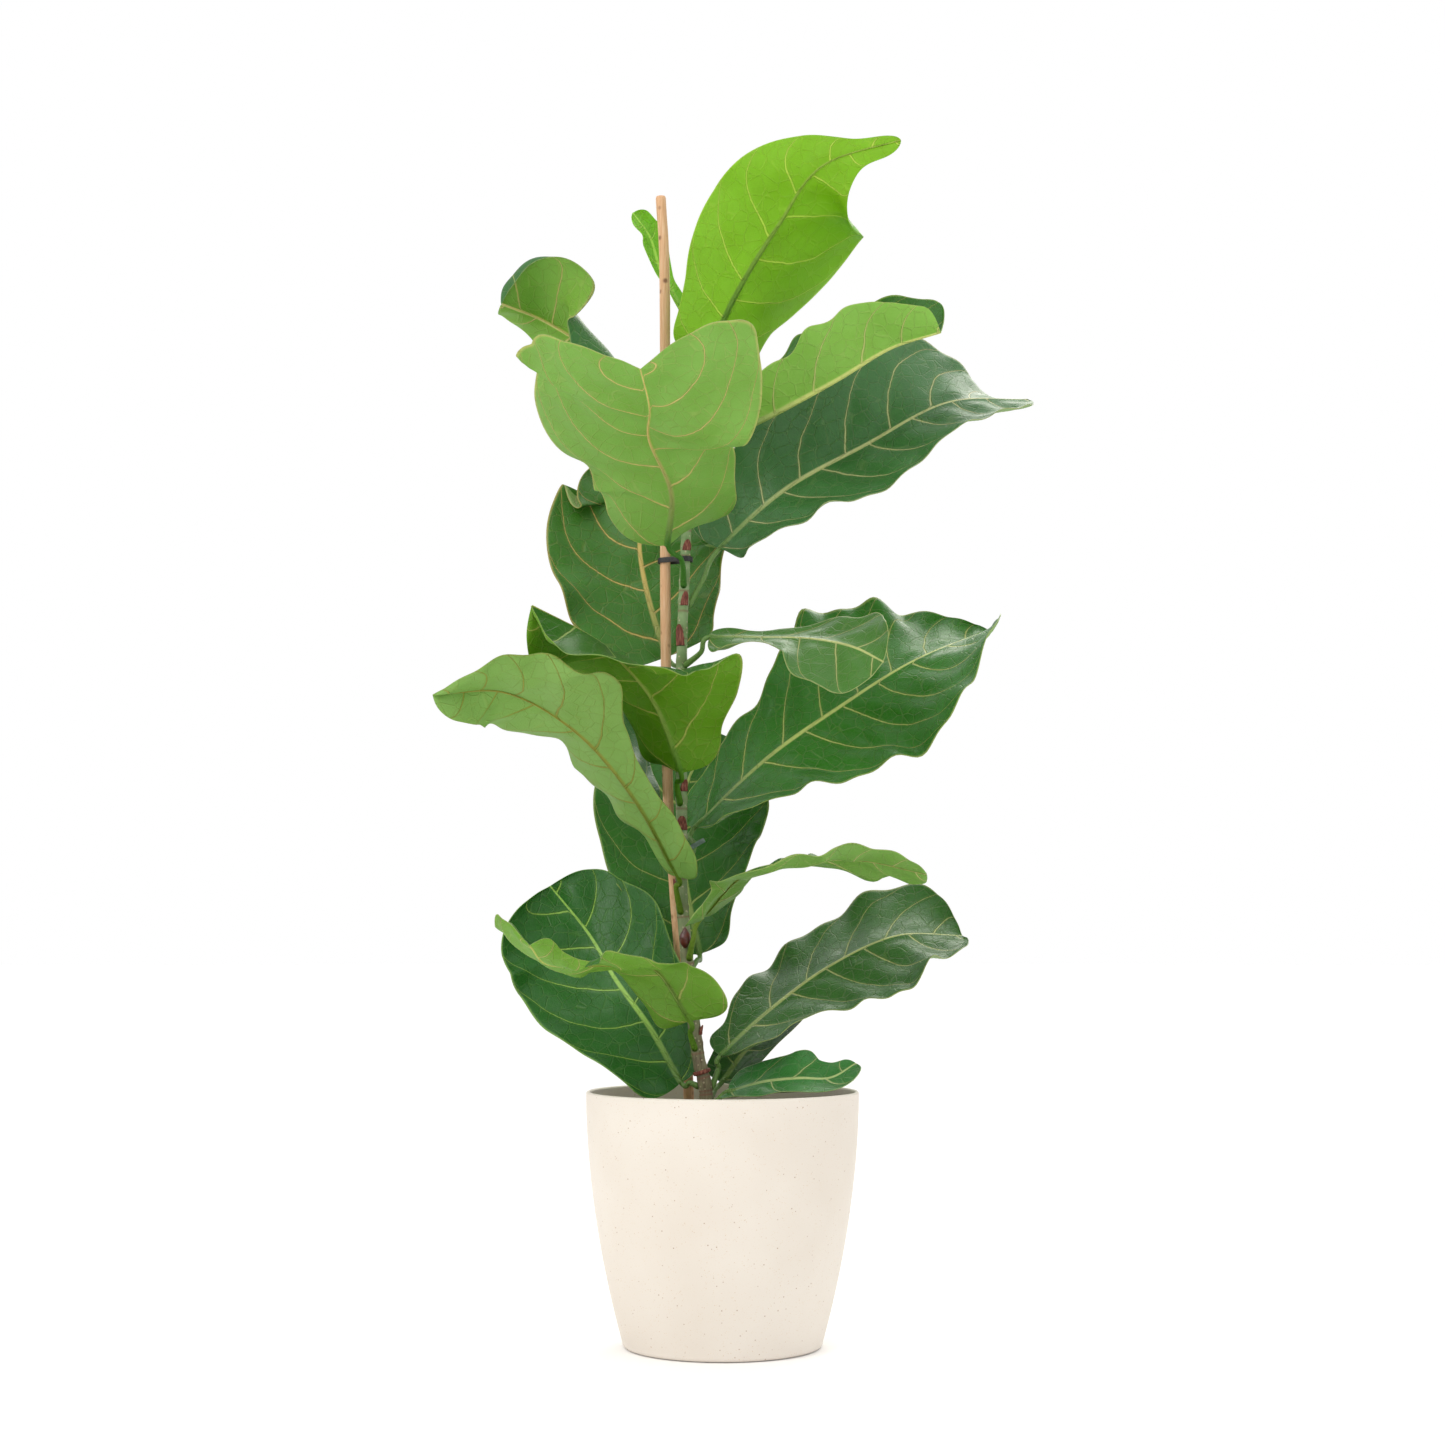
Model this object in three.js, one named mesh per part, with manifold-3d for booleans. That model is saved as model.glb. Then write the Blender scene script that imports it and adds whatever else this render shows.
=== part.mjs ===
// A fiddle leaf fig in a plain tapered pot: one stem on a cane, nineteen leaves, soil and pot.
// Millimetres, +Z up. The origin is the centre of the pot's underside.
import * as THREE from 'three';
import { mergeVertices } from 'three/addons/utils/BufferGeometryUtils.js';
import Module from 'manifold-3d';

const wasm = await Module();
wasm.setup();

// ---------------------------------------------------------------- driving sizes
const gap = 0.3;                // left between pieces that touch

const potHeight = 229;
const rimRadius = 125;
const footRadius = 90;
const wallCurve = 1.88;         // 1 is a straight taper, more bulges the wall outward
const potWall = 4;
const potFloor = 6;
const footRound = 4;            // rounding between underside and wall
const latheSides = 32;

const soilDrop = 23;            // from the rim down to the soil
const soilDome = 4;             // how much higher the soil is in the middle
const soilClearance = 0.9;      // between the soil and the wall, whose facets differ a little
const socketClearance = 0.48;   // around the stem and the cane where they stand in the soil

const growth = 1;               // size of the whole plant above the soil
const stemRootRadius = 6.2;
const stemTipRadius = 4.2;
const caneRadius = 4.9;

const stalkRadius = 2.3;        // leaf stalk and base of the midrib
const stalkFlare = 1.35;        // the stalk swells where it leaves the stem
const seatClearance = 0.45;     // between the end of a stalk and the stem
const ribTipRadius = 0.5;
const bladeThickness = 0.9;
const marginThickness = 0.6;
const keelSpread = 1.2;         // half width of the midrib's keel, in radii of the midrib

const tieClearance = 0.9;       // around the stem and the cane, which both lean a little
const tieWall = 1.3;

const soilLevel = potHeight - soilDrop;

// ---------------------------------------------------------------- helpers
const vector = ([x, y, z]) => new THREE.Vector3(x, y, z);
const radians = THREE.MathUtils.degToRad;
const smoothCurve = (points) => new THREE.CatmullRomCurve3(points, false, 'catmullrom', 0.5);

// The value at t (0 to 1) of a smooth line through evenly spaced numbers.
function through(values, t) {
  const points = values.map((value, index) => new THREE.Vector3(index, value, 0));
  return smoothCurve(points).getPoint(t).y;
}

// A closed body through a row of rings, each the same even number of points. An end is closed
// by strips between the first half of its ring and the second half, so that it may be curved.
// The quads of the second half are cut along the other diagonal, so that on a thin blade whose
// ring runs out on one face and back on the other, both faces are cut along the same lines.
function loft(rings) {
  const count = rings[0].length;
  const positions = [];
  const indices = [];
  rings.flat().forEach((point) => positions.push(point.x, point.y, point.z));
  for (let ring = 0; ring < rings.length - 1; ring += 1) {
    for (let k = 0; k < count; k += 1) {
      const a = ring * count + k;
      const b = ring * count + (k + 1) % count;
      if (k < count / 2) indices.push(a, b, b + count, a, b + count, a + count);
      else indices.push(a, b, a + count, b, b + count, a + count);
    }
  }
  const lastRing = (rings.length - 1) * count;
  for (let k = 0; k < count / 2 - 1; k += 1) {
    const across = count - 1 - k;
    indices.push(k, across, k + 1, k + 1, across, across - 1);
    const a = lastRing + k;
    const b = lastRing + across;
    indices.push(a, a + 1, b, a + 1, b - 1, b);
  }
  const geometry = new THREE.BufferGeometry();
  geometry.setAttribute('position', new THREE.Float32BufferAttribute(positions, 3));
  geometry.setIndex(indices);
  return geometry;
}

function toSolid(geometry) {
  const bare = geometry.clone();
  bare.deleteAttribute('normal');
  bare.deleteAttribute('uv');
  const merged = mergeVertices(bare, 1e-4);
  const vertProperties = new Float32Array(merged.attributes.position.array);
  const triVerts = new Uint32Array(merged.index.array);
  return new wasm.Manifold(new wasm.Mesh({ numProp: 3, vertProperties, triVerts }));
}

function fromSolid(solid) {
  const mesh = solid.getMesh();
  const geometry = new THREE.BufferGeometry();
  geometry.setAttribute('position', new THREE.BufferAttribute(mesh.vertProperties, 3));
  geometry.setIndex(new THREE.BufferAttribute(mesh.triVerts, 1));
  return geometry;
}

// A round tapering body along a curve; radiusAt is given the place along it, 0 to 1.
function roundBody(curve, radiusAt, steps, sides) {
  const rings = [];
  const frames = curve.computeFrenetFrames(steps, false);
  for (let step = 0; step <= steps; step += 1) {
    const centre = curve.getPointAt(step / steps);
    const radius = radiusAt(step / steps);
    const ring = [];
    for (let k = 0; k < sides; k += 1) {
      const angle = (2 * Math.PI * k) / sides;
      const point = centre.clone();
      point.addScaledVector(frames.normals[step], radius * Math.cos(angle));
      point.addScaledVector(frames.binormals[step], radius * Math.sin(angle));
      ring.push(point);
    }
    rings.push(ring);
  }
  return loft(rings);
}

const plant = new THREE.Group();

function add(name, geometry, color, roughness) {
  geometry.computeVertexNormals();
  const material = new THREE.MeshStandardMaterial({ color, roughness, metalness: 0 });
  const mesh = new THREE.Mesh(geometry, material);
  mesh.name = name;
  plant.add(mesh);
  return mesh;
}

// ---------------------------------------------------------------- pot
// A thin moulded shell. The wall's radius grows quickly near the foot and hardly at all at the rim.
function potRadius(z) {
  const down = 1 - z / potHeight;
  return rimRadius - (rimRadius - footRadius) * down ** wallCurve;
}

function lathe(profile, sides = latheSides) {
  const points = profile.map(([radius, z]) => new THREE.Vector2(radius, z));
  const geometry = new THREE.LatheGeometry(points, sides);
  geometry.rotateX(Math.PI / 2);
  return geometry;
}

function wallProfile(inset, from, to, steps) {
  const points = [];
  for (let k = 0; k <= steps; k += 1) {
    const z = from + ((to - from) * k) / steps;
    points.push([potRadius(z) - inset, z]);
  }
  return points;
}

const lip = potWall / 4;
const corner = 0.3 * footRound;   // a 45 degree point on the rounding
const potProfile = [
  [0, 0],
  [potRadius(0) - footRound, 0],
  [potRadius(footRound) - corner, corner],
  ...wallProfile(0, footRound, potHeight - lip, 9),
  [rimRadius - lip, potHeight],
  [rimRadius - potWall + lip, potHeight],
  ...wallProfile(potWall, potHeight - lip, potFloor, 5),
  [0, potFloor],
];
add('pot', lathe(potProfile), 0xefe9dd, 0.55);

// ---------------------------------------------------------------- stem and cane
// Points are [x, y, height above the soil]; both start below it.
const stemPoints = [
  [-14, 0, -60], [-15, 0, 18], [-22, 0, 52], [-27, 0, 90], [-34, 0, 158], [-38, 0, 212],
  [-38, 0, 300], [-38, 0, 430], [-35, 0, 513], [-32, 0, 600], [-32, 0, 668], [-32, 0, 712],
];
const canePoints = [
  [-26, 58, -140], [-31, 52, 0], [-36, 42, 90], [-45, 19, 210], [-51, 11, 300],
  [-54, 9, 520], [-55, 9, 780], [-59, 9, 868],
];

// Above the soil the plant grows with its size; below, roots and cane keep to the pot.
function planted([x, y, height]) {
  const size = height > 0 ? growth : 1;
  return new THREE.Vector3(x * growth, y * growth, soilLevel + height * size);
}

const stemCurve = smoothCurve(stemPoints.map(planted));
const caneCurve = smoothCurve(canePoints.map(planted));

// The place on a rising curve at a height above the soil.
function placeAt(curve, height) {
  const halvings = 40;
  let low = 0;
  let high = 1;
  for (let turn = 0; turn < halvings; turn += 1) {
    const middle = (low + high) / 2;
    const below = curve.getPointAt(middle).z < soilLevel + height * growth;
    [low, high] = below ? [middle, high] : [low, middle];
  }
  return low;
}

const stemRadiusAt = (along) => stemRootRadius + (stemTipRadius - stemRootRadius) * along;
const stemSteps = 48;
const stemSides = 8;
add('stem', roundBody(stemCurve, stemRadiusAt, stemSteps, stemSides), 0x7e9b68, 0.8);

const caneSection = new THREE.Shape();
caneSection.absarc(0, 0, caneRadius, 0, 2 * Math.PI);
const cane = new THREE.ExtrudeGeometry(caneSection, {
  steps: 24, curveSegments: 5, bevelEnabled: false, extrudePath: caneCurve,
});
add('cane', cane, 0xd2a57e, 0.7);

// ---------------------------------------------------------------- soil
// It fills the pot to just under the rim, and the stem and the cane stand in sockets in it.
const soilBottom = potFloor + gap;
const soilEdge = soilLevel - soilDome;
const soilBody = toSolid(lathe([
  [0, soilBottom],
  ...wallProfile(potWall + soilClearance, soilBottom, soilEdge, 4),
  [potRadius(soilEdge) * 0.6, soilLevel - soilDome * 0.3],
  [0, soilLevel],
]));

// A hole along the buried end of a curve, from just below that end to above the soil.
function socket(curve, radius) {
  const margin = 30;
  const samples = 40;
  const below = [];
  for (let k = 0; k <= samples; k += 1) {
    const point = curve.getPointAt(k / samples);
    if (point.z < soilLevel + margin) below.push(point);
  }
  const start = below[0].clone().multiplyScalar(2).sub(below[1]);
  start.lerp(below[0], 1 - gap / start.distanceTo(below[0]));
  const hole = smoothCurve([start, ...below]);
  const steps = 6;
  const sides = 10;
  return toSolid(roundBody(hole, () => radius, steps, sides));
}
const soil = soilBody
  .subtract(socket(stemCurve, stemRootRadius + socketClearance))
  .subtract(socket(caneCurve, caneRadius + socketClearance));
add('soil', fromSolid(soil), 0x4a3627, 1);

// ---------------------------------------------------------------- leaves
// Every leaf is one blade with its stalk, placed from the stem's axis at its own height:
//   stalk  a point half way along the stalk
//   rib    the midrib from the blade's base to its tip, at each quarter
//   face   which way the upper side looks at the base, the middle and the tip
//   reach  how far each half spreads from the midrib, at each eighth of the blade
//   lift   degrees that each half is folded up from flat, at the base, the middle and the tip
//   sweep  how far the margin runs ahead of the midrib, at the base and the tip, per mm of reach
//   curl   degrees that each half bends up between midrib and margin, left and right
const leaves = [
  {
    name: 'leaf_crown', height: 666, stalk: [12, -8, 24], color: 0x86d12a,
    rib: [[18, -24, 38], [46, -24, 100], [84, -28, 162], [124, -60, 208], [196, -80, 226]],
    face: [[-0.1, 1, 0.2], [-0.2, 1, 0.2], [-0.1, 1, 0]],
    reach: { left: [50, 58, 76, 88, 84, 64, 18], right: [42, 50, 64, 70, 66, 38, 14] },
    lift: { left: [20, 30, -25], right: [20, 20, 15] }, sweep: [-0.25, -0.1], curl: [25, 25],
  },
  {
    name: 'leaf_young', height: 700, stalk: [-2, 10, 20], color: 0x9ad43c,
    rib: [[-2, 16, 50], [-14, 24, 76], [-28, 34, 104], [-38, 34, 136], [-54, 22, 156]],
    face: [[0.4, -0.7, 0.6], [0.4, -0.7, 0.5], [0.3, -0.8, 0.5]],
    reach: { left: [8, 8, 10, 12, 16, 16, 16], right: [10, 8, 8, 12, 14, 18, 16] },
    lift: { left: [25, 20, 10], right: [20, 15, 10] }, sweep: [-0.2, 0], curl: [25, 25],
  },
  {
    name: 'leaf_upper_left', height: 592, stalk: [-14, -10, 20], color: 0x93be62,
    rib: [[-26, -12, 34], [-52, -44, 58], [-82, -52, 104], [-130, -56, 136], [-168, -96, 142]],
    face: [[0.2, 0.9, 0.3], [0.4, 0.8, 0.4], [0.6, 0.8, 0]],
    reach: { left: [38, 42, 48, 56, 58, 50, 80], right: [42, 42, 46, 54, 46, 26, 20] },
    lift: { left: [-30, -85, 10], right: [10, 5, 15] }, sweep: [-0.2, -0.1], curl: [-80, 25],
  },
  {
    name: 'leaf_upper_front', height: 491, stalk: [-2, -28, 20], color: 0x8cc050,
    rib: [[-14, -50, 30], [-10, -100, 70], [-28, -148, 108], [-26, -208, 122], [-32, -270, 140]],
    face: [[0.1, 0.6, 0.8], [0.1, 0.6, 0.8], [0.1, 0.6, 0.8]],
    reach: { left: [72, 58, 72, 82, 86, 96, 100], right: [60, 72, 78, 100, 104, 114, 92] },
    lift: { left: [60, -10, 25], right: [10, 10, 10] }, sweep: [-0.25, 0.6], curl: [25, 25],
  },
  {
    name: 'leaf_upper_right', height: 599, stalk: [22, -12, 16], color: 0x8ec05a,
    rib: [[42, -14, 34], [90, -38, 54], [140, -54, 78], [186, -60, 104], [230, -86, 112]],
    face: [[-0.3, 0.2, 0.9], [-0.9, 0.2, 0.5], [-0.6, 0.6, 0.5]],
    reach: { left: [50, 54, 62, 72, 80, 74, 58], right: [48, 40, 40, 56, 46, 50, 32] },
    lift: { left: [65, 60, 60], right: [60, 60, 60] }, sweep: [-0.2, 0], curl: [25, 25],
  },
  {
    name: 'leaf_high_right', height: 472, stalk: [18, 12, 26], color: 0x3e6b47,
    rib: [[34, 32, 60], [96, 30, 116], [174, 42, 162], [254, 52, 206], [334, 72, 214]],
    face: [[-0.3, -0.7, 0.6], [-0.3, -0.8, 0.5], [-0.4, -0.7, 0.7]],
    reach: { left: [60, 62, 72, 84, 94, 96, 80], right: [60, 70, 84, 90, 72, 70, 60] },
    lift: { left: [15, 50, -30], right: [20, 15, 20] }, sweep: [-0.2, 0], curl: [25, 25],
  },
  {
    name: 'leaf_high_back', height: 406, stalk: [-3, 20, 10], color: 0x3b6b2b,
    rib: [[-14, 30, 22], [-32, 46, 78], [-42, 64, 138], [-32, 86, 190], [-66, 102, 234]],
    face: [[0, -0.9, 0.4], [0.1, -0.9, 0.5], [0.1, -0.9, 0.4]],
    reach: { left: [62, 78, 84, 90, 88, 82, 76], right: [54, 68, 76, 84, 90, 90, 80] },
    lift: { left: [10, 5, 10], right: [20, 10, 10] }, sweep: [-0.2, 0], curl: [25, 25],
  },
  {
    name: 'leaf_small_right', height: 416, stalk: [18, -18, 10], color: 0x4f7a3c,
    rib: [[26, -22, 24], [74, -26, 24], [118, -46, 20], [154, -80, 8], [180, -114, -10]],
    face: [[0, -0.5, 0.8], [-0.3, -0.4, 0.9], [-0.5, -0.7, 0.6]],
    reach: { left: [14, 12, 22, 38, 38, 42, 32], right: [38, 16, 24, 40, 54, 52, 50] },
    lift: { left: [5, 0, 30], right: [0, 0, -10] }, sweep: [-0.2, 0], curl: [25, 25],
  },
  {
    name: 'leaf_arched', height: 287, stalk: [-4, -16, 18], color: 0x6fa51e,
    rib: [[0, -34, 26], [-22, -64, 86], [-54, -102, 124], [-80, -146, 140], [-126, -176, 160]],
    face: [[0.2, 0.8, 0.6], [0.3, 0.6, 0.8], [0.3, 0.2, 0.9]],
    reach: { left: [44, 76, 100, 86, 82, 76, 84], right: [60, 62, 64, 74, 76, 66, 50] },
    lift: { left: [30, -10, -45], right: [45, 5, -80] }, sweep: [-0.2, -0.1], curl: [25, 25],
  },
  {
    name: 'leaf_narrow_left', height: 252, stalk: [-8, -14, 12], color: 0x2b5f2b,
    rib: [[-18, -20, 20], [-36, -14, 40], [-48, -6, 78], [-82, 2, 116], [-118, 10, 152]],
    face: [[0.6, -0.8, 0.2], [0.8, -0.6, 0.2], [0.5, -0.8, 0.3]],
    reach: { left: [26, 30, 36, 44, 50, 50, 46], right: [16, 26, 34, 44, 50, 50, 46] },
    lift: { left: [0, 0, 0], right: [10, -15, 5] }, sweep: [-0.2, 0], curl: [25, 25],
  },
  {
    name: 'leaf_broad_right', height: 222, stalk: [12, 14, 26], color: 0x2e6b1e,
    rib: [[12, 28, 44], [78, 26, 108], [148, 32, 158], [220, 48, 204], [296, 78, 238]],
    face: [[-0.5, -0.5, 0.7], [-0.2, -0.9, 0.5], [-0.5, -0.5, 0.7]],
    reach: { left: [52, 56, 62, 88, 106, 100, 90], right: [60, 66, 76, 88, 104, 102, 80] },
    lift: { left: [-5, 5, 5], right: [25, 5, 35] }, sweep: [-0.15, 0], curl: [25, 25],
  },
  {
    name: 'leaf_long_left', height: 187, stalk: [-6, -18, 22], color: 0x93be62,
    rib: [[-4, -26, 32], [-38, -68, 96], [-88, -116, 154], [-148, -168, 186], [-206, -222, 178]],
    face: [[0.5, 0.7, 0.5], [0.5, 0.8, 0.4], [0.5, 0.8, 0.3]],
    reach: { left: [36, 26, 26, 44, 76, 70, 58], right: [24, 46, 56, 36, 50, 42, 30] },
    lift: { left: [-20, 5, -40], right: [15, 15, -40] }, sweep: [-0.25, -0.1], curl: [25, 25],
  },
  {
    name: 'leaf_thin_right', height: 144, stalk: [6, -16, 18], color: 0x7fae4e,
    rib: [[12, -20, 36], [46, -44, 74], [88, -80, 86], [152, -104, 88], [210, -134, 74]],
    face: [[-0.2, 0, 1], [0, -0.1, 1], [0.1, 0.5, 0.9]],
    reach: { left: [60, 48, 46, 56, 66, 66, 32], right: [50, 40, 56, 60, 64, 58, 32] },
    lift: { left: [10, 0, -5], right: [-15, -5, 0] }, sweep: [-0.2, 0], curl: [25, 25],
  },
  {
    name: 'leaf_mid_back', height: 134, stalk: [8, 20, 8], color: 0x2f6426,
    rib: [[10, 52, 14], [-2, 74, 72], [-8, 92, 126], [-2, 108, 182], [28, 126, 230]],
    face: [[0, -0.9, 0.5], [0, -0.9, 0.5], [0, -0.9, 0.5]],
    reach: { left: [52, 56, 70, 78, 86, 86, 76], right: [36, 52, 66, 78, 86, 86, 76] },
    lift: { left: [5, 5, 10], right: [25, 15, 10] }, sweep: [-0.2, 0], curl: [25, 25],
  },
  {
    name: 'leaf_low_front', height: 62, stalk: [-6, -18, 14], color: 0x7db23c,
    rib: [[-6, -34, 26], [-36, -54, 74], [-76, -92, 78], [-126, -126, 78], [-140, -176, 94]],
    face: [[0.1, 0.6, 0.8], [0.5, 0.6, 0.6], [0.2, 0, 1]],
    reach: { left: [46, 42, 50, 58, 60, 52, 24], right: [44, 52, 50, 58, 62, 62, 54] },
    lift: { left: [10, -15, 40], right: [5, 10, 30] }, sweep: [-0.3, 0], curl: [25, 25],
  },
  {
    name: 'leaf_low_left', height: 28, stalk: [-14, 3, 2], color: 0x2b5f2b,
    rib: [[-22, 8, 2], [-50, 16, 50], [-84, 34, 96], [-110, 52, 138], [-148, 64, 184]],
    face: [[0.1, -0.8, 0.5], [-0.05, -0.9, 0.4], [0, -0.75, 0.6]],
    reach: { left: [50, 60, 70, 82, 86, 90, 86], right: [24, 46, 58, 66, 70, 68, 54] },
    lift: { left: [20, 5, 15], right: [20, 28, 10] }, sweep: [-0.2, 0], curl: [25, 25],
  },
  {
    name: 'leaf_low_right', height: 25, stalk: [12, 6, 18], color: 0x35602f,
    rib: [[14, 4, 30], [60, 24, 72], [116, 42, 112], [180, 54, 140], [244, 70, 140]],
    face: [[-0.2, -0.5, 0.8], [-0.3, -0.6, 0.8], [-0.2, -0.5, 0.8]],
    reach: { left: [24, 44, 56, 64, 70, 74, 78], right: [50, 48, 52, 68, 80, 80, 62] },
    lift: { left: [20, -5, 15], right: [30, -5, 20] }, sweep: [-0.15, 0], curl: [25, 25],
  },
  {
    name: 'leaf_shaded', height: 13, stalk: [8, 20, 10], color: 0x33602f,
    rib: [[14, 30, 16], [34, 46, 42], [60, 62, 68], [78, 88, 90], [96, 118, 104]],
    face: [[-0.3, -0.8, 0.5], [-0.4, -0.8, 0.5], [-0.3, -0.8, 0.5]],
    reach: { left: [22, 26, 32, 38, 42, 42, 38], right: [28, 30, 34, 36, 40, 42, 38] },
    lift: { left: [15, 15, 10], right: [15, 20, 10] }, sweep: [-0.2, 0], curl: [25, 25],
  },
  {
    name: 'leaf_rim', height: 11, stalk: [10, -10, 4], color: 0x3a7346,
    rib: [[20, -12, 12], [50, -28, 22], [82, -40, 26], [112, -36, 26], [136, -22, 38]],
    face: [[0, -0.4, 1], [0, -0.5, 1], [-0.2, -0.5, 1]],
    reach: { left: [24, 28, 32, 34, 32, 26, 14], right: [28, 28, 30, 30, 26, 24, 18] },
    lift: { left: [15, 15, 20], right: [5, 0, 5] }, sweep: [-0.2, 0], curl: [25, 25],
  },
];

const stalkSteps = 4;
const bladeSteps = 12;
const endRounding = 1 / 8;      // share of the blade over which each end rounds off
const narrowest = 1;            // half width left at the very ends, so that they stay closed
const midReach = 40;            // the half width for which the midrib's keel is spaced

// The fraction of the full reach at t: a quarter circle at each end, full in between.
function roundedEnds(t) {
  const base = Math.min(t / endRounding, 1);
  const tip = Math.min((1 - t) / endRounding, 1);
  return Math.sqrt(1 - (1 - base) ** 2) * Math.sqrt(1 - (1 - tip) ** 2);
}

function leafBody(leaf) {
  const along = placeAt(stemCurve, leaf.height);
  const root = stemCurve.getPointAt(along);
  const stemDirection = stemCurve.getTangentAt(along);
  const outward = new THREE.Vector3(leaf.stalk[0], leaf.stalk[1], 0);
  outward.addScaledVector(stemDirection, -outward.dot(stemDirection)).normalize();
  const seat = root.clone().addScaledVector(outward, stemRadiusAt(along) + seatClearance);
  const from = (offset) => vector(offset).multiplyScalar(growth).add(root);
  const path = smoothCurve([seat, from(leaf.stalk), ...leaf.rib.map(from)]);
  const bladeStart = 2 / (leaf.rib.length + 1);
  const facing = smoothCurve(leaf.face.map(vector));
  const halves = {
    left: { sign: -1, curl: leaf.curl[0] },
    right: { sign: 1, curl: leaf.curl[1] },
  };

  // A point of the blade: t runs from base to tip, across from -1 (left) to 1 (right).
  function bladePoint(t, across) {
    const side = across < 0 ? 'left' : 'right';
    const place = bladeStart + (1 - bladeStart) * t;
    const point = path.getPoint(place);
    const forward = path.getTangent(place);
    const up = facing.getPoint(t);
    up.addScaledVector(forward, -up.dot(forward)).normalize();
    const sideways = new THREE.Vector3().crossVectors(forward, up);
    const reaches = leaf.reach[side];
    const evenly = [reaches[0], ...reaches, reaches[reaches.length - 1]];
    const full = through(evenly, t) * growth;
    const share = Math.abs(across);
    const distance = share * Math.max(full * roundedEnds(t), narrowest);
    const lift = radians(through(leaf.lift[side], t) - halves[side].curl * (1 - share));
    const sweep = THREE.MathUtils.lerp(leaf.sweep[0], leaf.sweep[1], t) * share;
    point.addScaledVector(sideways, distance * Math.cos(lift) * halves[side].sign);
    point.addScaledVector(up, distance * Math.sin(lift));
    point.addScaledVector(forward, distance * sweep);
    return point;
  }

  function bladeNormal(t, across) {
    const step = 0.01;
    const inside = THREE.MathUtils.clamp(t, 2 * step, 1 - 2 * step);
    const along = bladePoint(inside + step, across).sub(bladePoint(inside - step, across));
    const edge = Math.min(Math.max(across, step - 1), 1 - step);
    const over = bladePoint(inside, edge + step).sub(bladePoint(inside, edge - step));
    return over.cross(along).normalize();
  }

  const rings = [];
  const columns = 7;
  for (let step = 0; step < stalkSteps; step += 1) {
    const share = step / stalkSteps;
    const centre = path.getPoint(bladeStart * share);
    const axis = step === 0 ? outward : path.getTangent(bladeStart * share);
    const up = facing.getPoint(0);
    up.addScaledVector(axis, -up.dot(axis)).normalize();
    const sideways = new THREE.Vector3().crossVectors(axis, up);
    const radius = stalkRadius * THREE.MathUtils.lerp(stalkFlare, 1, Math.min(share * 2, 1));
    const ring = [];
    for (let k = 0; k < 2 * columns; k += 1) {
      const angle = Math.PI - ((k + 0.5) * Math.PI) / columns;
      const point = centre.clone();
      point.addScaledVector(sideways, radius * Math.cos(angle));
      point.addScaledVector(up, radius * Math.sin(angle));
      ring.push(point);
    }
    rings.push(ring);
  }
  for (let step = 0; step <= bladeSteps; step += 1) {
    const t = (1 - Math.cos((Math.PI * step) / bladeSteps)) / 2;
    const ribRadius = THREE.MathUtils.lerp(stalkRadius, ribTipRadius, t);
    const keel = keelSpread * ribRadius;
    const near = keel / Math.max(midReach * roundedEnds(t), 2 * keel);
    const half = (1 + near) / 2;
    const lines = [-1, -half, -near, 0, near, half, 1];
    const upper = [];
    const lower = [];
    lines.forEach((across) => {
      const middle = bladePoint(t, across);
      const normal = bladeNormal(t, across);
      const thickness = Math.abs(across) === 1 ? marginThickness : bladeThickness;
      const depth = thickness / 2 + (across === 0 ? 2 * ribRadius : 0);
      upper.push(middle.clone().addScaledVector(normal, thickness / 2));
      lower.push(middle.clone().addScaledVector(normal, -depth));
    });
    rings.push([...upper, ...lower.reverse()]);
  }
  return loft(rings);
}

leaves.forEach((leaf) => add(leaf.name, leafBody(leaf), leaf.color, 0.45));

// ---------------------------------------------------------------- scales and buds on the stem
// Dry scales are what is left of the sheath around each new leaf: pointed flakes on the stem.
const scales = [
  { height: 524, turn: -75, length: 10, spread: 100 },
  { height: 472, turn: -75, length: 13, spread: 90 },
  { height: 434, turn: -115, length: 20, spread: 110 },
  { height: 298, turn: -60, length: 11, spread: 90 },
  { height: 262, turn: -85, length: 13, spread: 120 },
  { height: 199, turn: -150, length: 18, spread: 80 },
  { height: 74, turn: -20, length: 9, spread: 80 },
];
const scaleThickness = 0.8;
const scaleClearance = 0.6;     // between a flake and the stem's flat facets
const scalePeel = 2;            // how far the pointed end stands off the stem
const scaleTaper = 0.98;        // 1 would bring the end to a point of no width

function scaleBody(scale) {
  const rings = [];
  const rows = 4;
  const columns = 5;
  for (let row = 0; row <= rows; row += 1) {
    const share = row / rows;
    const along = placeAt(stemCurve, scale.height + (scale.length * share) / growth);
    const centre = stemCurve.getPointAt(along);
    const inner = stemRadiusAt(along) + scaleClearance + scalePeel * share ** 2;
    const halfSpread = radians(scale.spread / 2) * Math.sqrt(1 - scaleTaper * share);
    const ring = [];
    [inner + scaleThickness, inner].forEach((radius, face) => {
      for (let k = 0; k < columns; k += 1) {
        const across = (2 * k) / (columns - 1) - 1;
        const angle = radians(scale.turn) + halfSpread * (face === 0 ? across : -across);
        const offset = new THREE.Vector3(Math.cos(angle), Math.sin(angle), 0);
        ring.push(centre.clone().addScaledVector(offset, radius));
      }
    });
    rings.push(ring);
  }
  return loft(rings);
}
scales.forEach((scale, index) => add(`scale_${index + 1}`, scaleBody(scale), 0x7a3b33, 0.8));

// A plump side bud sits flat against the front of the stem.
const budSize = { width: 11, depth: 7, height: 20, at: 163 };
const budAlong = placeAt(stemCurve, budSize.at);
const budCentre = stemCurve.getPointAt(budAlong);
const budOffset = stemRadiusAt(budAlong) + gap + budSize.depth / 2;
const bud = new THREE.SphereGeometry(0.5, 12, 8);
bud.rotateX(Math.PI / 2);
bud.scale(budSize.width, budSize.depth, budSize.height);
bud.translate(budCentre.x, budCentre.y - budOffset, budCentre.z);
add('side_bud', bud, 0x4a1f18, 0.3);

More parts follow.
